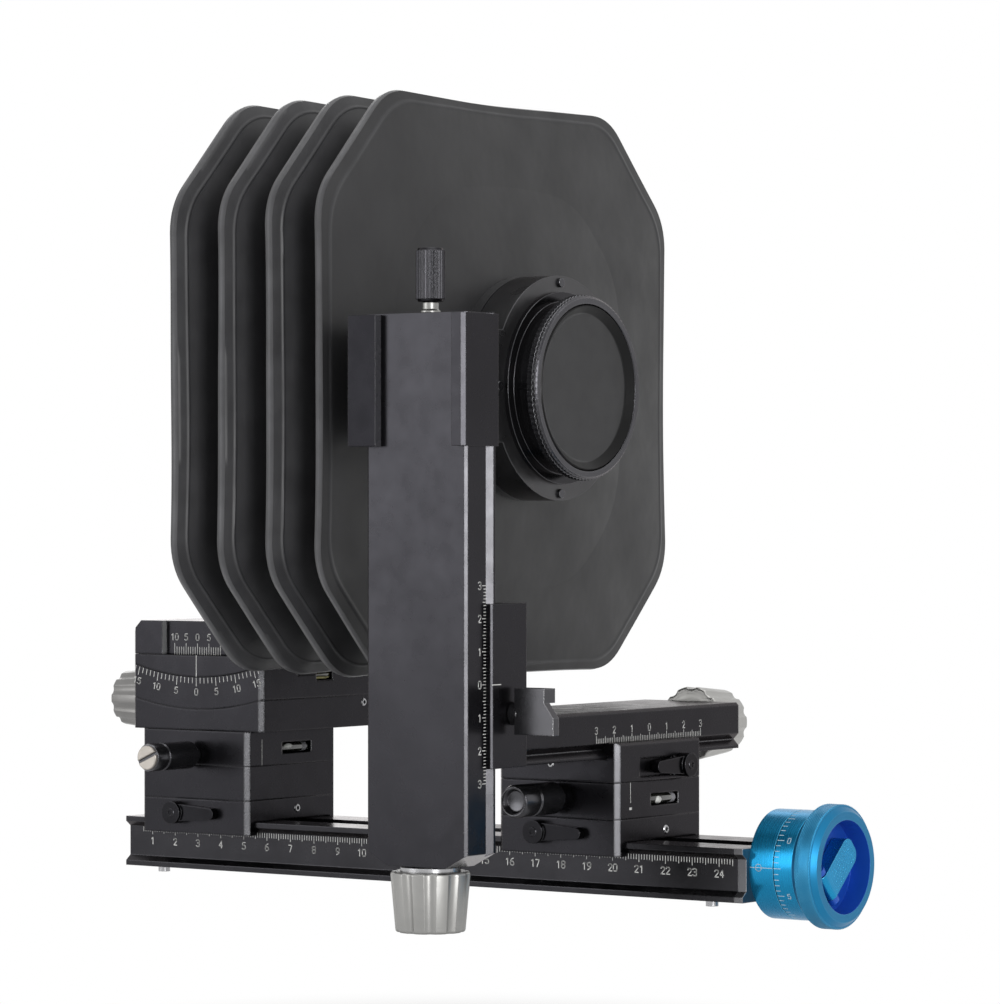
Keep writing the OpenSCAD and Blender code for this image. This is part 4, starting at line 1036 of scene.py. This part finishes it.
@dataclass
class SocketScrews:
    """Small socket head screws of one body: turned heads with a bevelled rim and a hexagon socket."""

    name: str
    body: str
    radius: float
    normal: Vector
    places: Sequence[Vector]
    height: float = 0.35
    finish: Finish = Finish.STEEL

    def build(self) -> None:
        """Sets a head at every place.

        A head is drawn along X: rings of a circle pass into a hexagon, r cos 30 / cos (angle off a flat).
        """
        a = circle(24)
        r, h = self.radius, self.height
        flat = 0.5 * r * math.cos(math.pi / 6) / np.cos((a % (math.pi / 3)) - math.pi / 6)
        rows = [(-0.4, r), (h - 0.25 * r, r), (h, 0.78 * r), (h, flat), (h - 0.55 * r, flat * 0.96)]
        head = loft(np.stack([np.stack([0.0 * a + x, rr * np.cos(a), rr * np.sin(a)], -1) for x, rr in rows]))
        shape = joined(head.placed(self.normal, at) for at in self.places)
        Piece(self.name, shape, self.finish, 30.0).on(self.body)


@dataclass
class LeadScrew:
    """A screw with a round-topped thread that stands for a plain rod."""

    body: str
    node: str
    radius: float
    start: Vector
    direction: Vector
    length: float
    lead: float = 4.0
    starts: int = 2
    depth: float = 0.5
    plain: float = 9.0

    def build(self) -> None:
        """Builds the thread.

        The radius falls by the depth times a rounded wave of s (x / lead - a / 2 pi), where s is the number
        of starts, and the thread runs out towards both plain ends.
        """
        x = np.linspace(0.0, self.length, int(self.length / 0.3))
        fade = np.clip(np.minimum(x - self.plain, self.length - self.plain - x), 0.0, 1.0)[:, None]

        def groove(along: Array, a: Array) -> Array:
            """Returns the change of the radius."""
            wave = triangle_wave(self.starts * (along / self.lead - a / TURN))
            return -self.depth * np.clip(1.25 * wave - 0.15, 0.0, 1.0) * fade

        shape = turned(np.stack([x, np.full_like(x, self.radius)], -1), 20, ripple=groove)
        shape = shape.placed(self.direction, self.start)
        Piece(self.node + "_thread", shape, Finish.STEEL, 40.0).on(self.body, self.node)


@dataclass
class FlutedKnob:
    """A tapered silver knob of one drive, with rounded rims and shallow flutes."""

    drive: str
    at: Vector
    direction: Vector
    finish: Finish
    wide: float = 12.25
    taper: float = 1.5
    length: float = 18.5
    flutes: int = 10
    depth: float = 0.75
    half_flute: float = 1.9
    rounding: float = 0.9

    def build(self) -> None:
        """Builds the knob.

        The radius falls linearly from the wide rim to the narrow one and by a quarter circle at each rim.
        Round it, each flute takes off the depth times 1 - (arc / half flute) squared.
        """
        t = np.linspace(0.0, math.pi / 2, 6)
        sunk = self.rounding * np.stack([1 - np.sin(t), np.cos(t) - 1], -1)
        narrow = self.wide - self.taper
        end = [[self.length, narrow - 3.2], [self.length - 0.5, narrow - 3.6], [self.length - 0.5, 2.2]]
        low = sunk[::-1] + [0.0, self.wide]
        high = sunk * [-1.0, 1.0] + [self.length, narrow]
        side = np.concatenate([[0.0], np.ones(2 * len(t)), np.zeros(len(end))])[:, None]

        def flute(x: Array, a: Array) -> Array:
            """Returns the change of the radius."""
            arc = (a * self.flutes / TURN % 1.0 - 0.5) * TURN * self.wide / self.flutes
            return -self.depth * side * np.clip(1.0 - (arc / self.half_flute) ** 2, 0.0, 1.0)

        shape = turned(np.concatenate([[[0.0, 3.0]], low, high, end]), 240, ripple=flute)
        shape = shape.placed(self.direction, self.at)
        node = self.drive + "_knob"
        Piece(node + "_flutes", shape, self.finish, 35.0).on(self.drive + "_drive", node)


@dataclass
class LockKnob:
    """A smooth lock knob on the column's side, turned to an outline measured outwards from its block."""

    joint: str
    at: Vector
    outline: Sequence[Vector]

    def build(self) -> None:
        """Turns the outline round the knob's axis, beginning with its pin."""
        shape = turned(((-15.2, 2.5), (0.0, 2.5), *self.outline), 72).placed(TO_COLUMN, self.at)
        node = self.joint + "_knob"
        Piece(node + "_body", shape, Finish.KNOB, 28.0).on(self.joint + "_lock", node)


@dataclass
class SlottedDisc:
    """The pale end disc of the rear swing lock knob: two half discs beside a screwdriver slot."""

    radius: float = 4.0
    slot: float = 0.5
    lean: float = 24.0
    thickness: float = 0.7
    bevel: float = 0.25
    at: Point = (REAR_KNOB[0], -48.4, REAR_KNOB[1])

    def half(self, sign: float) -> Shape:
        """One half disc along X, an arc closed by its chord and shrunk a little towards its front rim.

        Args:
            sign: 1 or -1 for the two halves.

        Returns:
            The half disc, in its place.
        """
        rings = []
        for x, inset in ((-0.6, 0.0), (self.thickness - self.bevel, 0.0), (self.thickness, self.bevel)):
            r, w = self.radius - inset, self.slot + inset
            a = np.linspace(math.asin(w / r), math.pi - math.asin(w / r), 29)
            rings.append(np.stack([np.full(29, x), r * np.cos(a), sign * r * np.sin(a)], -1))
        return loft(np.stack(rings)).placed(TO_COLUMN, self.at, self.lean)

    def build(self) -> None:
        """Sets both halves on the end of the knob."""
        shape = joined([self.half(1.0), self.half(-1.0)])
        Piece("rear_swing_knob_disc", shape, Finish.CREAM, 30.0).on("rear_swing_lock")


@dataclass
class Level:
    """A bubble level in a slot of a block's lens side: clear tube, bubble and end plug."""

    name: str
    body: str
    face: float
    y: float
    z: float
    bubble: tuple[float, float, float, float]
    plug: float | None
    tube: Finish = Finish.VIAL
    # the bubble's near white is a painted glint
    air: Finish = Finish.BUBBLE
    half: float = 7.7
    radius: float = 1.6
    sunk: float = 0.7
    dome: float = 0.8

    def build(self) -> None:
        """Builds the tube with domed ends, the bubble as an ellipsoid, and the plug as a short sleeve."""
        t = np.linspace(0.12, math.pi / 2, 7)
        end = np.stack([-self.half + self.dome * (1 - np.cos(t - 0.12)), self.radius * np.sin(t)], -1)
        centre = self.face - self.sunk - self.radius
        along, up, half_y, half_z = self.bubble
        t = np.linspace(0.08, math.pi - 0.08, 15)
        parts = [
            ("tube", np.concatenate([end, end[::-1] * [-1, 1]]), 40, (centre, self.y, self.z), self.tube),
            ("bubble", np.stack([-half_y * np.cos(t), half_z * np.sin(t)], -1), 24,
             (self.face - 0.1 - half_z, self.y + along, self.z + up), self.air),
        ]
        if self.plug is not None:
            r = self.radius + 0.06
            rows = [(-1.2, r - 0.3), (-1.05, r), (1.05, r), (1.2, r - 0.3)]
            parts.append(("plug", rows, 40, (centre, self.y + self.plug - 2.4, self.z), Finish.PLUG))
        for kind, rows, steps, at, finish in parts:
            shape = turned(rows, steps).placed(TO_FAR_SIDE, at)
            piece = Piece(f"{self.name}_{kind}", shape, finish, 30.0 if kind == "plug" else 40.0)
            piece.on(self.body, self.name + "_vial" if kind == "tube" else None)


# Focusing drive and lens mount


@dataclass
class FocusKnob:
    """Dress of the blue focusing knob: knurled band, dimpled crank face and the crank's pin heads."""

    knurl_x: tuple[float, float] = (142.45, 148.05)
    radius: float = 19.22
    depth: float = 0.26
    diamonds: int = 132
    pitch: float = 0.95
    lean: float = 42.0
    crank_face: float = 148.0
    pin_u: float = -7.9
    pin_v: float = 7.02
    pin_x: float = 145.55
    dimple: float = 1.15

    def at(self, x: float, u: float, v: float) -> Point:
        """Returns the place that lies u along the crank and v across it."""
        c, s = math.cos(math.radians(self.lean)), math.sin(math.radians(self.lean))
        return x, u * c - v * s, FOCUS_Z + u * s + v * c

    def knurl(self) -> Shape:
        """A thin sleeve whose radius rises by the depth times the mean of two waves along opposite spirals.

        Returns:
            The sleeve.
        """
        x0, x1 = self.knurl_x
        r = self.radius
        x = np.linspace(x0 + 0.3, x1 - 0.3, 23)
        outer = np.stack([x, np.full_like(x, r)], -1)
        rows = np.concatenate([[[x0, r - 0.6], [x0, r - 0.15]], outer, [[x1, r - 0.15], [x1, r - 0.6]]])
        band = np.concatenate([[0, 0], np.ones(len(x)), [0, 0]])[:, None]

        def diamond(xx: Array, a: Array) -> Array:
            """Returns the change of the radius."""
            turn, along = a * self.diamonds / TURN, xx / self.pitch
            return self.depth * band * (triangle_wave(turn + along) + triangle_wave(turn - along)) / 2.0

        return turned(rows, 4 * self.diamonds, ring=True, ripple=diamond).placed(TO_LENS, (0.0, 0.0, FOCUS_Z))

    def dimples(self) -> Shape:
        """Small domes in staggered rows on the crank's face.

        Returns:
            All the domes.
        """
        t = np.array([0.0, 0.5, 0.95]) * math.pi / 2
        dome = turned(np.stack([0.14 * np.sin(t), 0.34 * np.cos(t) + 0.02], -1), 8)
        u, v = np.meshgrid(np.arange(-5.0, 8.3, self.dimple), np.arange(-3.45, 3.6, self.dimple))
        u = u + self.dimple / 2.0 * (np.arange(len(v))[:, None] % 2)
        places = [self.at(self.crank_face - 0.02, a, b) for a, b in zip(u.ravel(), v.ravel())]
        return joined(dome.placed(TO_LENS, place) for place in places)

    def build(self) -> None:
        """Builds the pieces."""
        Piece("focus_knurl", self.knurl(), Finish.BLUE_DISH, 25.0).on("focus_drive")
        Piece("crank_dimples", self.dimples(), Finish.BLUE, 60.0).on("focus_crank")
        head = turned([(-0.3, 1.35), (0.15, 1.35), (0.42, 1.0), (0.5, 0.4)], 24)
        across = np.subtract(self.at(0.0, 0.0, 1.0), (0.0, 0.0, FOCUS_Z))
        heads = joined(
            head.placed(k * across, self.at(self.pin_x, self.pin_u, k * self.pin_v)) for k in (-1, 1))
        Piece("crank_pin_heads", heads, Finish.STEEL, 30.0).on("focus_crank")


@dataclass
class LensRing:
    """The knurled locking ring round the neck and the cap."""

    teeth: int = 100
    depth: float = 0.42

    def build(self) -> None:
        """Turns the ring: its knurl is a row of teeth that a narrow groove parts from a finer front row."""
        rows = [(49.1, 28.05), (49.1, 29.3), (49.35, 29.62), (49.6, 29.62), (51.0, 29.62), (51.5, 29.62),
                (51.7, 29.2), (51.95, 29.2), (52.1, 29.5), (52.45, 29.5), (52.7, 29.2), (53.1, 28.9),
                (53.1, 27.3), (52.85, 26.96), (50.45, 26.96), (50.45, 28.05)]
        height = self.depth * np.array([0, 0, 0, 1, 1, 1, 0, 0, 0.5, 0.5, 0, 0, 0, 0, 0, 0])[:, None]

        def knurl(x: Array, a: Array) -> Array:
            """Returns the change of the radius."""
            return height * triangle_wave(self.teeth * a / TURN)

        shape = turned(rows, 6 * self.teeth, ring=True, ripple=knurl).placed(TO_LENS, (0.0, 0.0, AXIS_Z))
        # painted light: the ring takes the paler knob finish to lift it out of the column's shade
        Piece("lens_ring_knurl", shape, Finish.KNOB, 22.0).on("mount_ring", "lens_lock_ring")


@dataclass
class StudCollar:
    """The bright collar on the stud under the top knob."""

    at: Point = (FRONT_X, RISE_Y, 181.62)

    def build(self) -> None:
        """Turns a hollow sleeve with a flange at its foot."""
        rows = [(0.05, 2.04), (0.05, 2.9), (0.3, 3.1), (0.8, 3.1), (1.05, 2.75), (1.4, 2.5), (3.3, 2.5),
                (3.5, 2.3), (3.5, 2.04)]
        shape = turned(rows, 40, ring=True).placed(UP, self.at)
        Piece("top_knob_collar", shape, Finish.SILVER_RISE, 30.0).on("top_lock")


# Engraved scales


@dataclass
class Scales:
    """The engraved scales and index lines, one mesh for each body that carries some."""

    waist_y: float = -18.75
    side_y: float = -24.1
    slide_x: float = 76.45
    drum_r: float = 17.2
    tilt_x: float = -91.3
    cross_x: float = -92.4
    column_zero: float = 68.8

    def lengths(self, values: Array, ten: float, five: float, one: float) -> Array:
        """Returns the length of each tick: at whole tens, at whole fives and between."""
        return np.where(values % 10 == 0, ten, np.where(values % 5 == 0, five, one))

    def rail(self) -> None:
        """Millimetre ticks and centimetre numbers along the rail's waist, and the drum's index and ring."""
        e = Engraving("rail_scale", "base")
        mm = np.arange(6, 246)
        long = self.lengths(mm, 2.3, 1.9, 1.4)
        e.ticks((-125, self.waist_y, 13.15), TO_LENS, mm, (0, 0, -1), long, TO_COLUMN)
        e.numbers(range(1, 25), (-125, self.waist_y, 8.6), (10, 0, 0), TO_LENS, 2.2)
        y = -self.drum_r
        e.line((125.4, y, FOCUS_Z), (133.3, y, FOCUS_Z), TO_COLUMN, 0.16)
        a = np.linspace(0.0, TURN, 17)
        ring = np.stack([128.4 + 1.1 * np.cos(a), 0.0 * a + y, FOCUS_Z + 1.1 * np.sin(a)], -1)
        e.line(ring[:-1], ring[1:], TO_COLUMN, 0.16)
        e.cut()

    def dial(self) -> None:
        """Sixty ticks round the dial's rear edge with a number at every tenth."""
        e = Engraving("dial_scale", "focus_drive", Finish.BLUE_PAINT)
        a = circle(60)
        out = np.stack([0.0 * a, -np.cos(a), np.sin(a)], -1)
        foot = out * self.drum_r + [134.05, 0.0, FOCUS_Z]
        long = np.where(np.arange(60) % 5 == 0, 2.3, 1.5)[:, None] * TO_LENS
        e.line(foot, foot + long, out, 0.2)
        for n in range(6):
            b = math.radians(60.0 * n + 30.0)
            at = (138.2, -self.drum_r * math.cos(b), FOCUS_Z + self.drum_r * math.sin(b))
            e.number(n, at, TO_LENS, (0, math.sin(b), math.cos(b)), 1.7)
        e.cut()

    def tilt(self) -> None:
        """Degree ticks hanging from the arc's upper edge, numbered every five, and the index line above."""
        e = Engraving("tilt_arc_scale", "rear_turntable")
        degrees = np.arange(-16, 17)
        a = np.radians(degrees)
        out = np.stack([np.sin(a), 0.0 * a, -np.cos(a)], -1)
        hub = np.array([self.tilt_x, self.side_y, AXIS_Z])
        foot = np.where(degrees % 5 == 0, 99.0, 98.0)[:, None]
        e.line(hub + out * 96.35, hub + out * foot, TO_COLUMN, 0.24)
        for n in range(-15, 16, 5):
            c, s = math.cos(math.radians(n)), math.sin(math.radians(n))
            e.number(n, hub + np.array([s, 0.0, -c]) * 101.0, (c, 0, s), (-s, 0, c), 2.1)
        e.cut()
        e = Engraving("tilt_index", "rear_cradle")
        e.line((self.tilt_x, self.side_y, 65.5), (self.tilt_x, self.side_y, 72.4), TO_COLUMN, 0.3)
        e.cut()

    def cross(self) -> None:
        """Ticks of ten millimetres to each side in the cross slide's recess."""
        e = Engraving("cross_slide_scale", "rear_standard")
        mm = np.arange(-10, 11)
        y = self.side_y + 2.0
        e.ticks((self.cross_x, y, 72.75), TO_LENS, mm, UP, self.lengths(mm, 3.6, 3.6, 2.4), TO_COLUMN, 0.24)
        e.numbers(range(-10, 11, 5), (self.cross_x, y, 78.6), TO_LENS, TO_LENS, 2.1)
        e.cut()

    def swing(self) -> None:
        """Swing index lines on the lens side of both swing bases and of the blocks that turn on them."""
        e = Engraving("rear_swing_index", "rear_base")
        e.line((-69.0, -16.45, 35.9), (-69.0, -16.45, 44.3), TO_LENS, 0.26)
        e.cut()
        e = Engraving("front_swing_index", "front_base")
        e.line((80.7, -17.1, 29.2), (80.7, -17.1, 35.45), TO_LENS)
        e.line((80.7, -17.4, 27.3), (80.7, -16.8, 27.3), TO_LENS, 0.8)
        e.cut()

    def slides(self) -> None:
        """Scales of thirty millimetres each way on the bar and the column, and the column clamp's index."""
        mm = np.arange(-30, 31)
        long = self.lengths(mm, 2.3, 1.9, 1.35)
        tens = range(-3, 4)
        e = Engraving("bar_scale", "cross_bar")
        e.ticks((self.slide_x, 0.0, 48.35), TO_FAR_SIDE, mm, UP, long, TO_LENS)
        e.numbers(tens, (self.slide_x, 0.0, 52.3), (0, 10, 0), TO_FAR_SIDE, 2.1)
        e.line((78.67, -84.6, 68.75), (78.67, -89.15, 68.75), TO_LENS, 0.3)
        e.cut()
        e = Engraving("column_scale", "front_standard")
        e.ticks((self.slide_x, -89.4, self.column_zero), UP, mm, (0, -0.75, 0), long, TO_LENS)
        e.numbers(tens, (self.slide_x, -92.5, self.column_zero), (0, 0, 10), TO_FAR_SIDE, 2.2)
        e.cut()

    def build(self) -> None:
        """Builds every scale."""
        for scale in (self.rail, self.dial, self.tilt, self.cross, self.swing, self.slides):
            scale()


# Studio

WHITE = (1.0, 1.0, 1.0)


@dataclass(frozen=True)
class Studio:
    """Camera, floor, backdrop and soft lights."""

    camera_at: Point = (0.8433, -1.1515, 0.1225)
    azimuth: float = 35.64
    lens: float = 155.05
    shift_y: float = 0.00544
    floor_z: float = -0.06
    floor_reach: float = 9.0
    target: Point = (0.0, 0.0, 0.1)
    world_light: float = 0.4

    def add(self, name: str, data: bpy.types.ID, at: Point = (0.0, 0.0, 0.0),
            turn: Point = (0.0, 0.0, 0.0)) -> bpy.types.Object:
        """Puts an object into the scene.

        Args:
            name: its name.
            data: its mesh, light or camera.
            at: its place.
            turn: its turn about X, Y and Z.

        Returns:
            The object.
        """
        obj = bpy.data.objects.new(name, data)
        obj.location, obj.rotation_euler = at, turn
        bpy.context.scene.collection.objects.link(obj)
        return obj

    def camera(self) -> None:
        """Sets the camera where the photograph was taken from, level and with a small shift."""
        data = bpy.data.cameras.new("camera")
        data.lens, data.sensor_width, data.shift_y = self.lens, 36.0, self.shift_y
        data.clip_start, data.clip_end = 0.01, 50.0
        data.dof.use_dof = False
        turn = (math.radians(90.0), 0.0, math.radians(self.azimuth))
        bpy.context.scene.camera = self.add("camera", data, self.camera_at, turn)

    def light(self, name: str, at: Point, size: tuple[float, float], power: float) -> None:
        """Adds a rectangular soft light that faces the target.

        Args:
            name: name of the light.
            at: its place.
            size: its height and width.
            power: its power in watts.
        """
        data = bpy.data.lights.new(name, "AREA")
        data.shape, data.energy = "RECTANGLE", power
        data.size, data.size_y = size
        away = np.array(at) - np.array(self.target)
        tip = math.acos(away[2] / np.linalg.norm(away))
        self.add(name, data, at, (0.0, tip, math.atan2(away[1], away[0])))

    def floor(self) -> None:
        """Adds the pale floor: it takes the object's shadow and farther off shows the white of the world."""
        g = Surface("pale_floor")
        g.set(Base_Color=g.blend(g.mottle(3.0, 3.0), (0.93, 0.93, 0.93), (0.95, 0.95, 0.95)), Roughness=0.9)
        away = g.add("VectorMath", {0: g.place}, operation="LENGTH").outputs["Value"]
        far = g.ramp(away, 0.09, 0.22, interpolation_type="SMOOTHSTEP")
        white = g.add("Emission", {"Color": WHITE, "Strength": 1.0})
        mix = g.add("MixShader", {0: g.product(far, g.seen()), 1: g.shader.outputs[0], 2: white.outputs[0]})
        g.feed(g.out, mix.outputs[0])
        r, a = np.meshgrid(np.linspace(0.02, self.floor_reach, 46), circle(96), indexing="ij")
        points = np.stack([r * np.cos(a), r * np.sin(a), 0.0 * r + self.floor_z], -1).reshape(-1, 3)
        faces = grid_quads(*r.shape)[:, ::-1].tolist() + [list(range(r.shape[1]))]
        mesh = bpy.data.meshes.new("floor")
        mesh.from_pydata(points.tolist(), [], faces)
        mesh.materials.append(g.material)
        obj = self.add("floor", mesh)

    def world(self) -> None:
        """Sets the world: white to the camera and in reflections, dimmer as a light."""
        world = bpy.data.worlds.new("studio")
        bpy.context.scene.world = world
        world.use_nodes = True
        g = Graph(world.node_tree)
        dim, full = (g.add("Background", {0: WHITE, 1: k}).outputs[0] for k in (self.world_light, 1.0))
        g.add("OutputWorld", {0: g.add("MixShader", {0: g.seen(), 1: dim, 2: full}).outputs[0]})

    def build(self) -> None:
        """Builds the whole studio."""
        self.camera()
        self.floor()
        self.world()
        self.light("front", (1.55, -1.10, 0.30), (1.2, 0.45), 20.0)
        self.light("left", (-1.1, -1.7, 0.56), (1.2, 1.0), 11.7)
        self.light("top", (0.1, 0.0, 1.7), (1.2, 1.2), 8.0)
        self.light("back", (-1.5, 1.2, 0.8), (1.2, 1.0), 6.0)
        bpy.context.scene.view_settings.view_transform = "Standard"


# The camera's parts

NODE_FINISHES = {
    Finish.BLUE: "focus_drum focus_dial focus_crank",
    Finish.BLUE_DISH: "focus_knob",
    Finish.SILVER: "camera_ring",
    Finish.PLATE: "rail_end_plate",
    Finish.RAIL: "rail",
    Finish.COLUMN: "column",
    Finish.CARRIAGE: "lens_carriage",
    Finish.BLOCK: "rear_carriage rear_riser rear_swing_base tilt_cradle tilt_arc tilt_saddle "
                  "front_carriage front_swing_base shift_clamp shift_bar",
    Finish.CROSS: "cross_slide",
    Finish.ARM: "lens_arm arm_bracket",
    Finish.WING: "column_clamp_lever",
    Finish.LEVER: "rear_carriage_lever front_carriage_lever shift_lock_lever",
    Finish.STEEL: "focus_screw shift_screw rise_screw tilt_worm rail_stop_pins shift_bearing rise_bearing "
                  "rise_collar",
    Finish.BRASS: "focus_nut shift_nut rise_nut",
    Finish.GRAPHITE: "cross_slide_knob",
    Finish.GLOSS: "lens_neck",
    Finish.KNOB: "boss_screws",
    Finish.VIAL: "rear_level_vial front_level_vial tilt_level_vial",
    Finish.CAP: "dust_cap",
}


def dress_nodes() -> None:
    """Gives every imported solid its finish, black where none is named."""
    finishes = {name: finish for finish, names in NODE_FINISHES.items() for name in names.split()}
    for name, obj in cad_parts.items():
        obj.data.materials.clear()
        obj.data.materials.append(finishes.get(name, Finish.BLACK).value.material())


def knobs() -> list[FlutedKnob | LockKnob | LeadScrew | SlottedDisc | StudCollar]:
    """Lists the silver knobs, the lock knobs and the lead screws.

    Returns:
        The parts.
    """
    return [
        FlutedKnob("tilt", (-123.65, 0.0, TILT_Z), TO_BACK, Finish.SILVER_TILT, wide=10.9),
        FlutedKnob("shift", (FRONT_X, 53.3, SHIFT_Z), TO_FAR_SIDE, Finish.SILVER_SHIFT),
        FlutedKnob("rise", (FRONT_X, RISE_Y, 11.64), (0, 0, -1), Finish.SILVER_RISE),
        LockKnob("rear_swing", (REAR_KNOB[0], -24.5, REAR_KNOB[1]), (
            (0.0, 3.2), (2.4, 3.2), (2.4, 4.1), (2.9, 4.65), (17.2, 4.65), (17.5, 4.35), (18.0, 4.35),
            (18.3, 4.65), (23.1, 4.65), (23.6, 4.4), (23.6, 3.9))),
        LockKnob("front_swing", (FRONT_X, -24.5, 30.38), (
            (0.0, 3.6), (2.4, 3.6), (2.4, 4.6), (2.9, 5.2), (14.8, 5.2), (15.1, 4.8), (15.6, 4.8),
            (15.9, 5.2), (22.9, 5.2), (23.6, 4.9), (23.9, 4.5), (23.6, 3.9), (22.4, 3.1), (22.1, 1.2))),
        SlottedDisc(),
        StudCollar(),
        LeadScrew("focus_drive", "focus_screw", 3.0, (-124.0, 0.0, FOCUS_Z), TO_LENS, 265.6),
        LeadScrew("shift_drive", "shift_screw", 2.5, (FRONT_X, -69.98, SHIFT_Z), TO_FAR_SIDE, 123.2),
        LeadScrew("rise_drive", "rise_screw", 2.5, (FRONT_X, RISE_Y, 11.7), UP, 157.6),
    ]


def screws_and_levels() -> list[SocketScrews | Level]:
    """Lists the small screws and the three levels.

    Returns:
        The parts.
    """
    dark = (0.2, Finish.LEVER)
    corners = np.radians([45, 135, 225, 315])
    ring = [(-74.95, 25.5 * math.cos(a), AXIS_Z + 25.5 * math.sin(a)) for a in corners]
    return [
        SocketScrews("rear_carriage_screw", "rear_base", 1.5, TO_LENS, [(-69.0, 2.6, 20.4)]),
        SocketScrews("front_carriage_screw", "front_base", 1.5, TO_LENS, [(80.7, 3.2, 19.6)]),
        SocketScrews("shift_clamp_screw", "front_turntable", 1.2, TO_COLUMN, [(55.0, -24.2, 41.0)]),
        SocketScrews("tilt_block_screw", "rear_turntable", 1.4, TO_LENS, [(-62.95, 31.9, 55.5)]),
        SocketScrews("rear_lever_screw", "rear_rail_lock", 1.8, TO_COLUMN, [(-99.2, -28.3, 19.36)], *dark),
        SocketScrews("front_lever_screw", "front_rail_lock", 1.8, TO_COLUMN, [(50.5, -28.3, 19.36)], *dark),
        SocketScrews("shift_lever_screw", "shift_lock", 1.8, TO_LENS, [(84.8, 12.0, 39.92)], *dark),
        SocketScrews("upright_screws", "rear_standard", 2.0, TO_BACK,
                     [(-72.95, y, z) for y in (-10.0, 26.0) for z in (100.0, 116.0)]),
        SocketScrews("camera_ring_screws", "rear_standard", 1.0, TO_BACK, ring),
        Level("rear_level", "rear_base", -69.0, 2.4, 41.17, (-3.7, 0.5, 2.3, 0.9), 7.5),
        Level("front_level", "front_base", 80.7, 2.4, 29.57, (-2.4, -0.3, 1.9, 1.25), 8.6),
        # the tilt level's bubble is a pale strip, a painted highlight along the top of its spirit
        Level("tilt_level", "rear_turntable", -62.95, 10.0, 65.72, (-1.2, -1.0, 4.3, 0.45), None,
              Finish.TINTED, Finish.STRIP, half=4.4),
    ]


def main() -> None:
    """Builds the scene in order and reports each piece."""
    logging.basicConfig(level=logging.INFO, format="%(message)s")
    Studio().build()
    dress_nodes()
    for part in (Bellows(), LensRing(), FocusKnob(), *knobs(), *screws_and_levels(), Scales()):
        part.build()


if __name__ == "__main__":
    main()
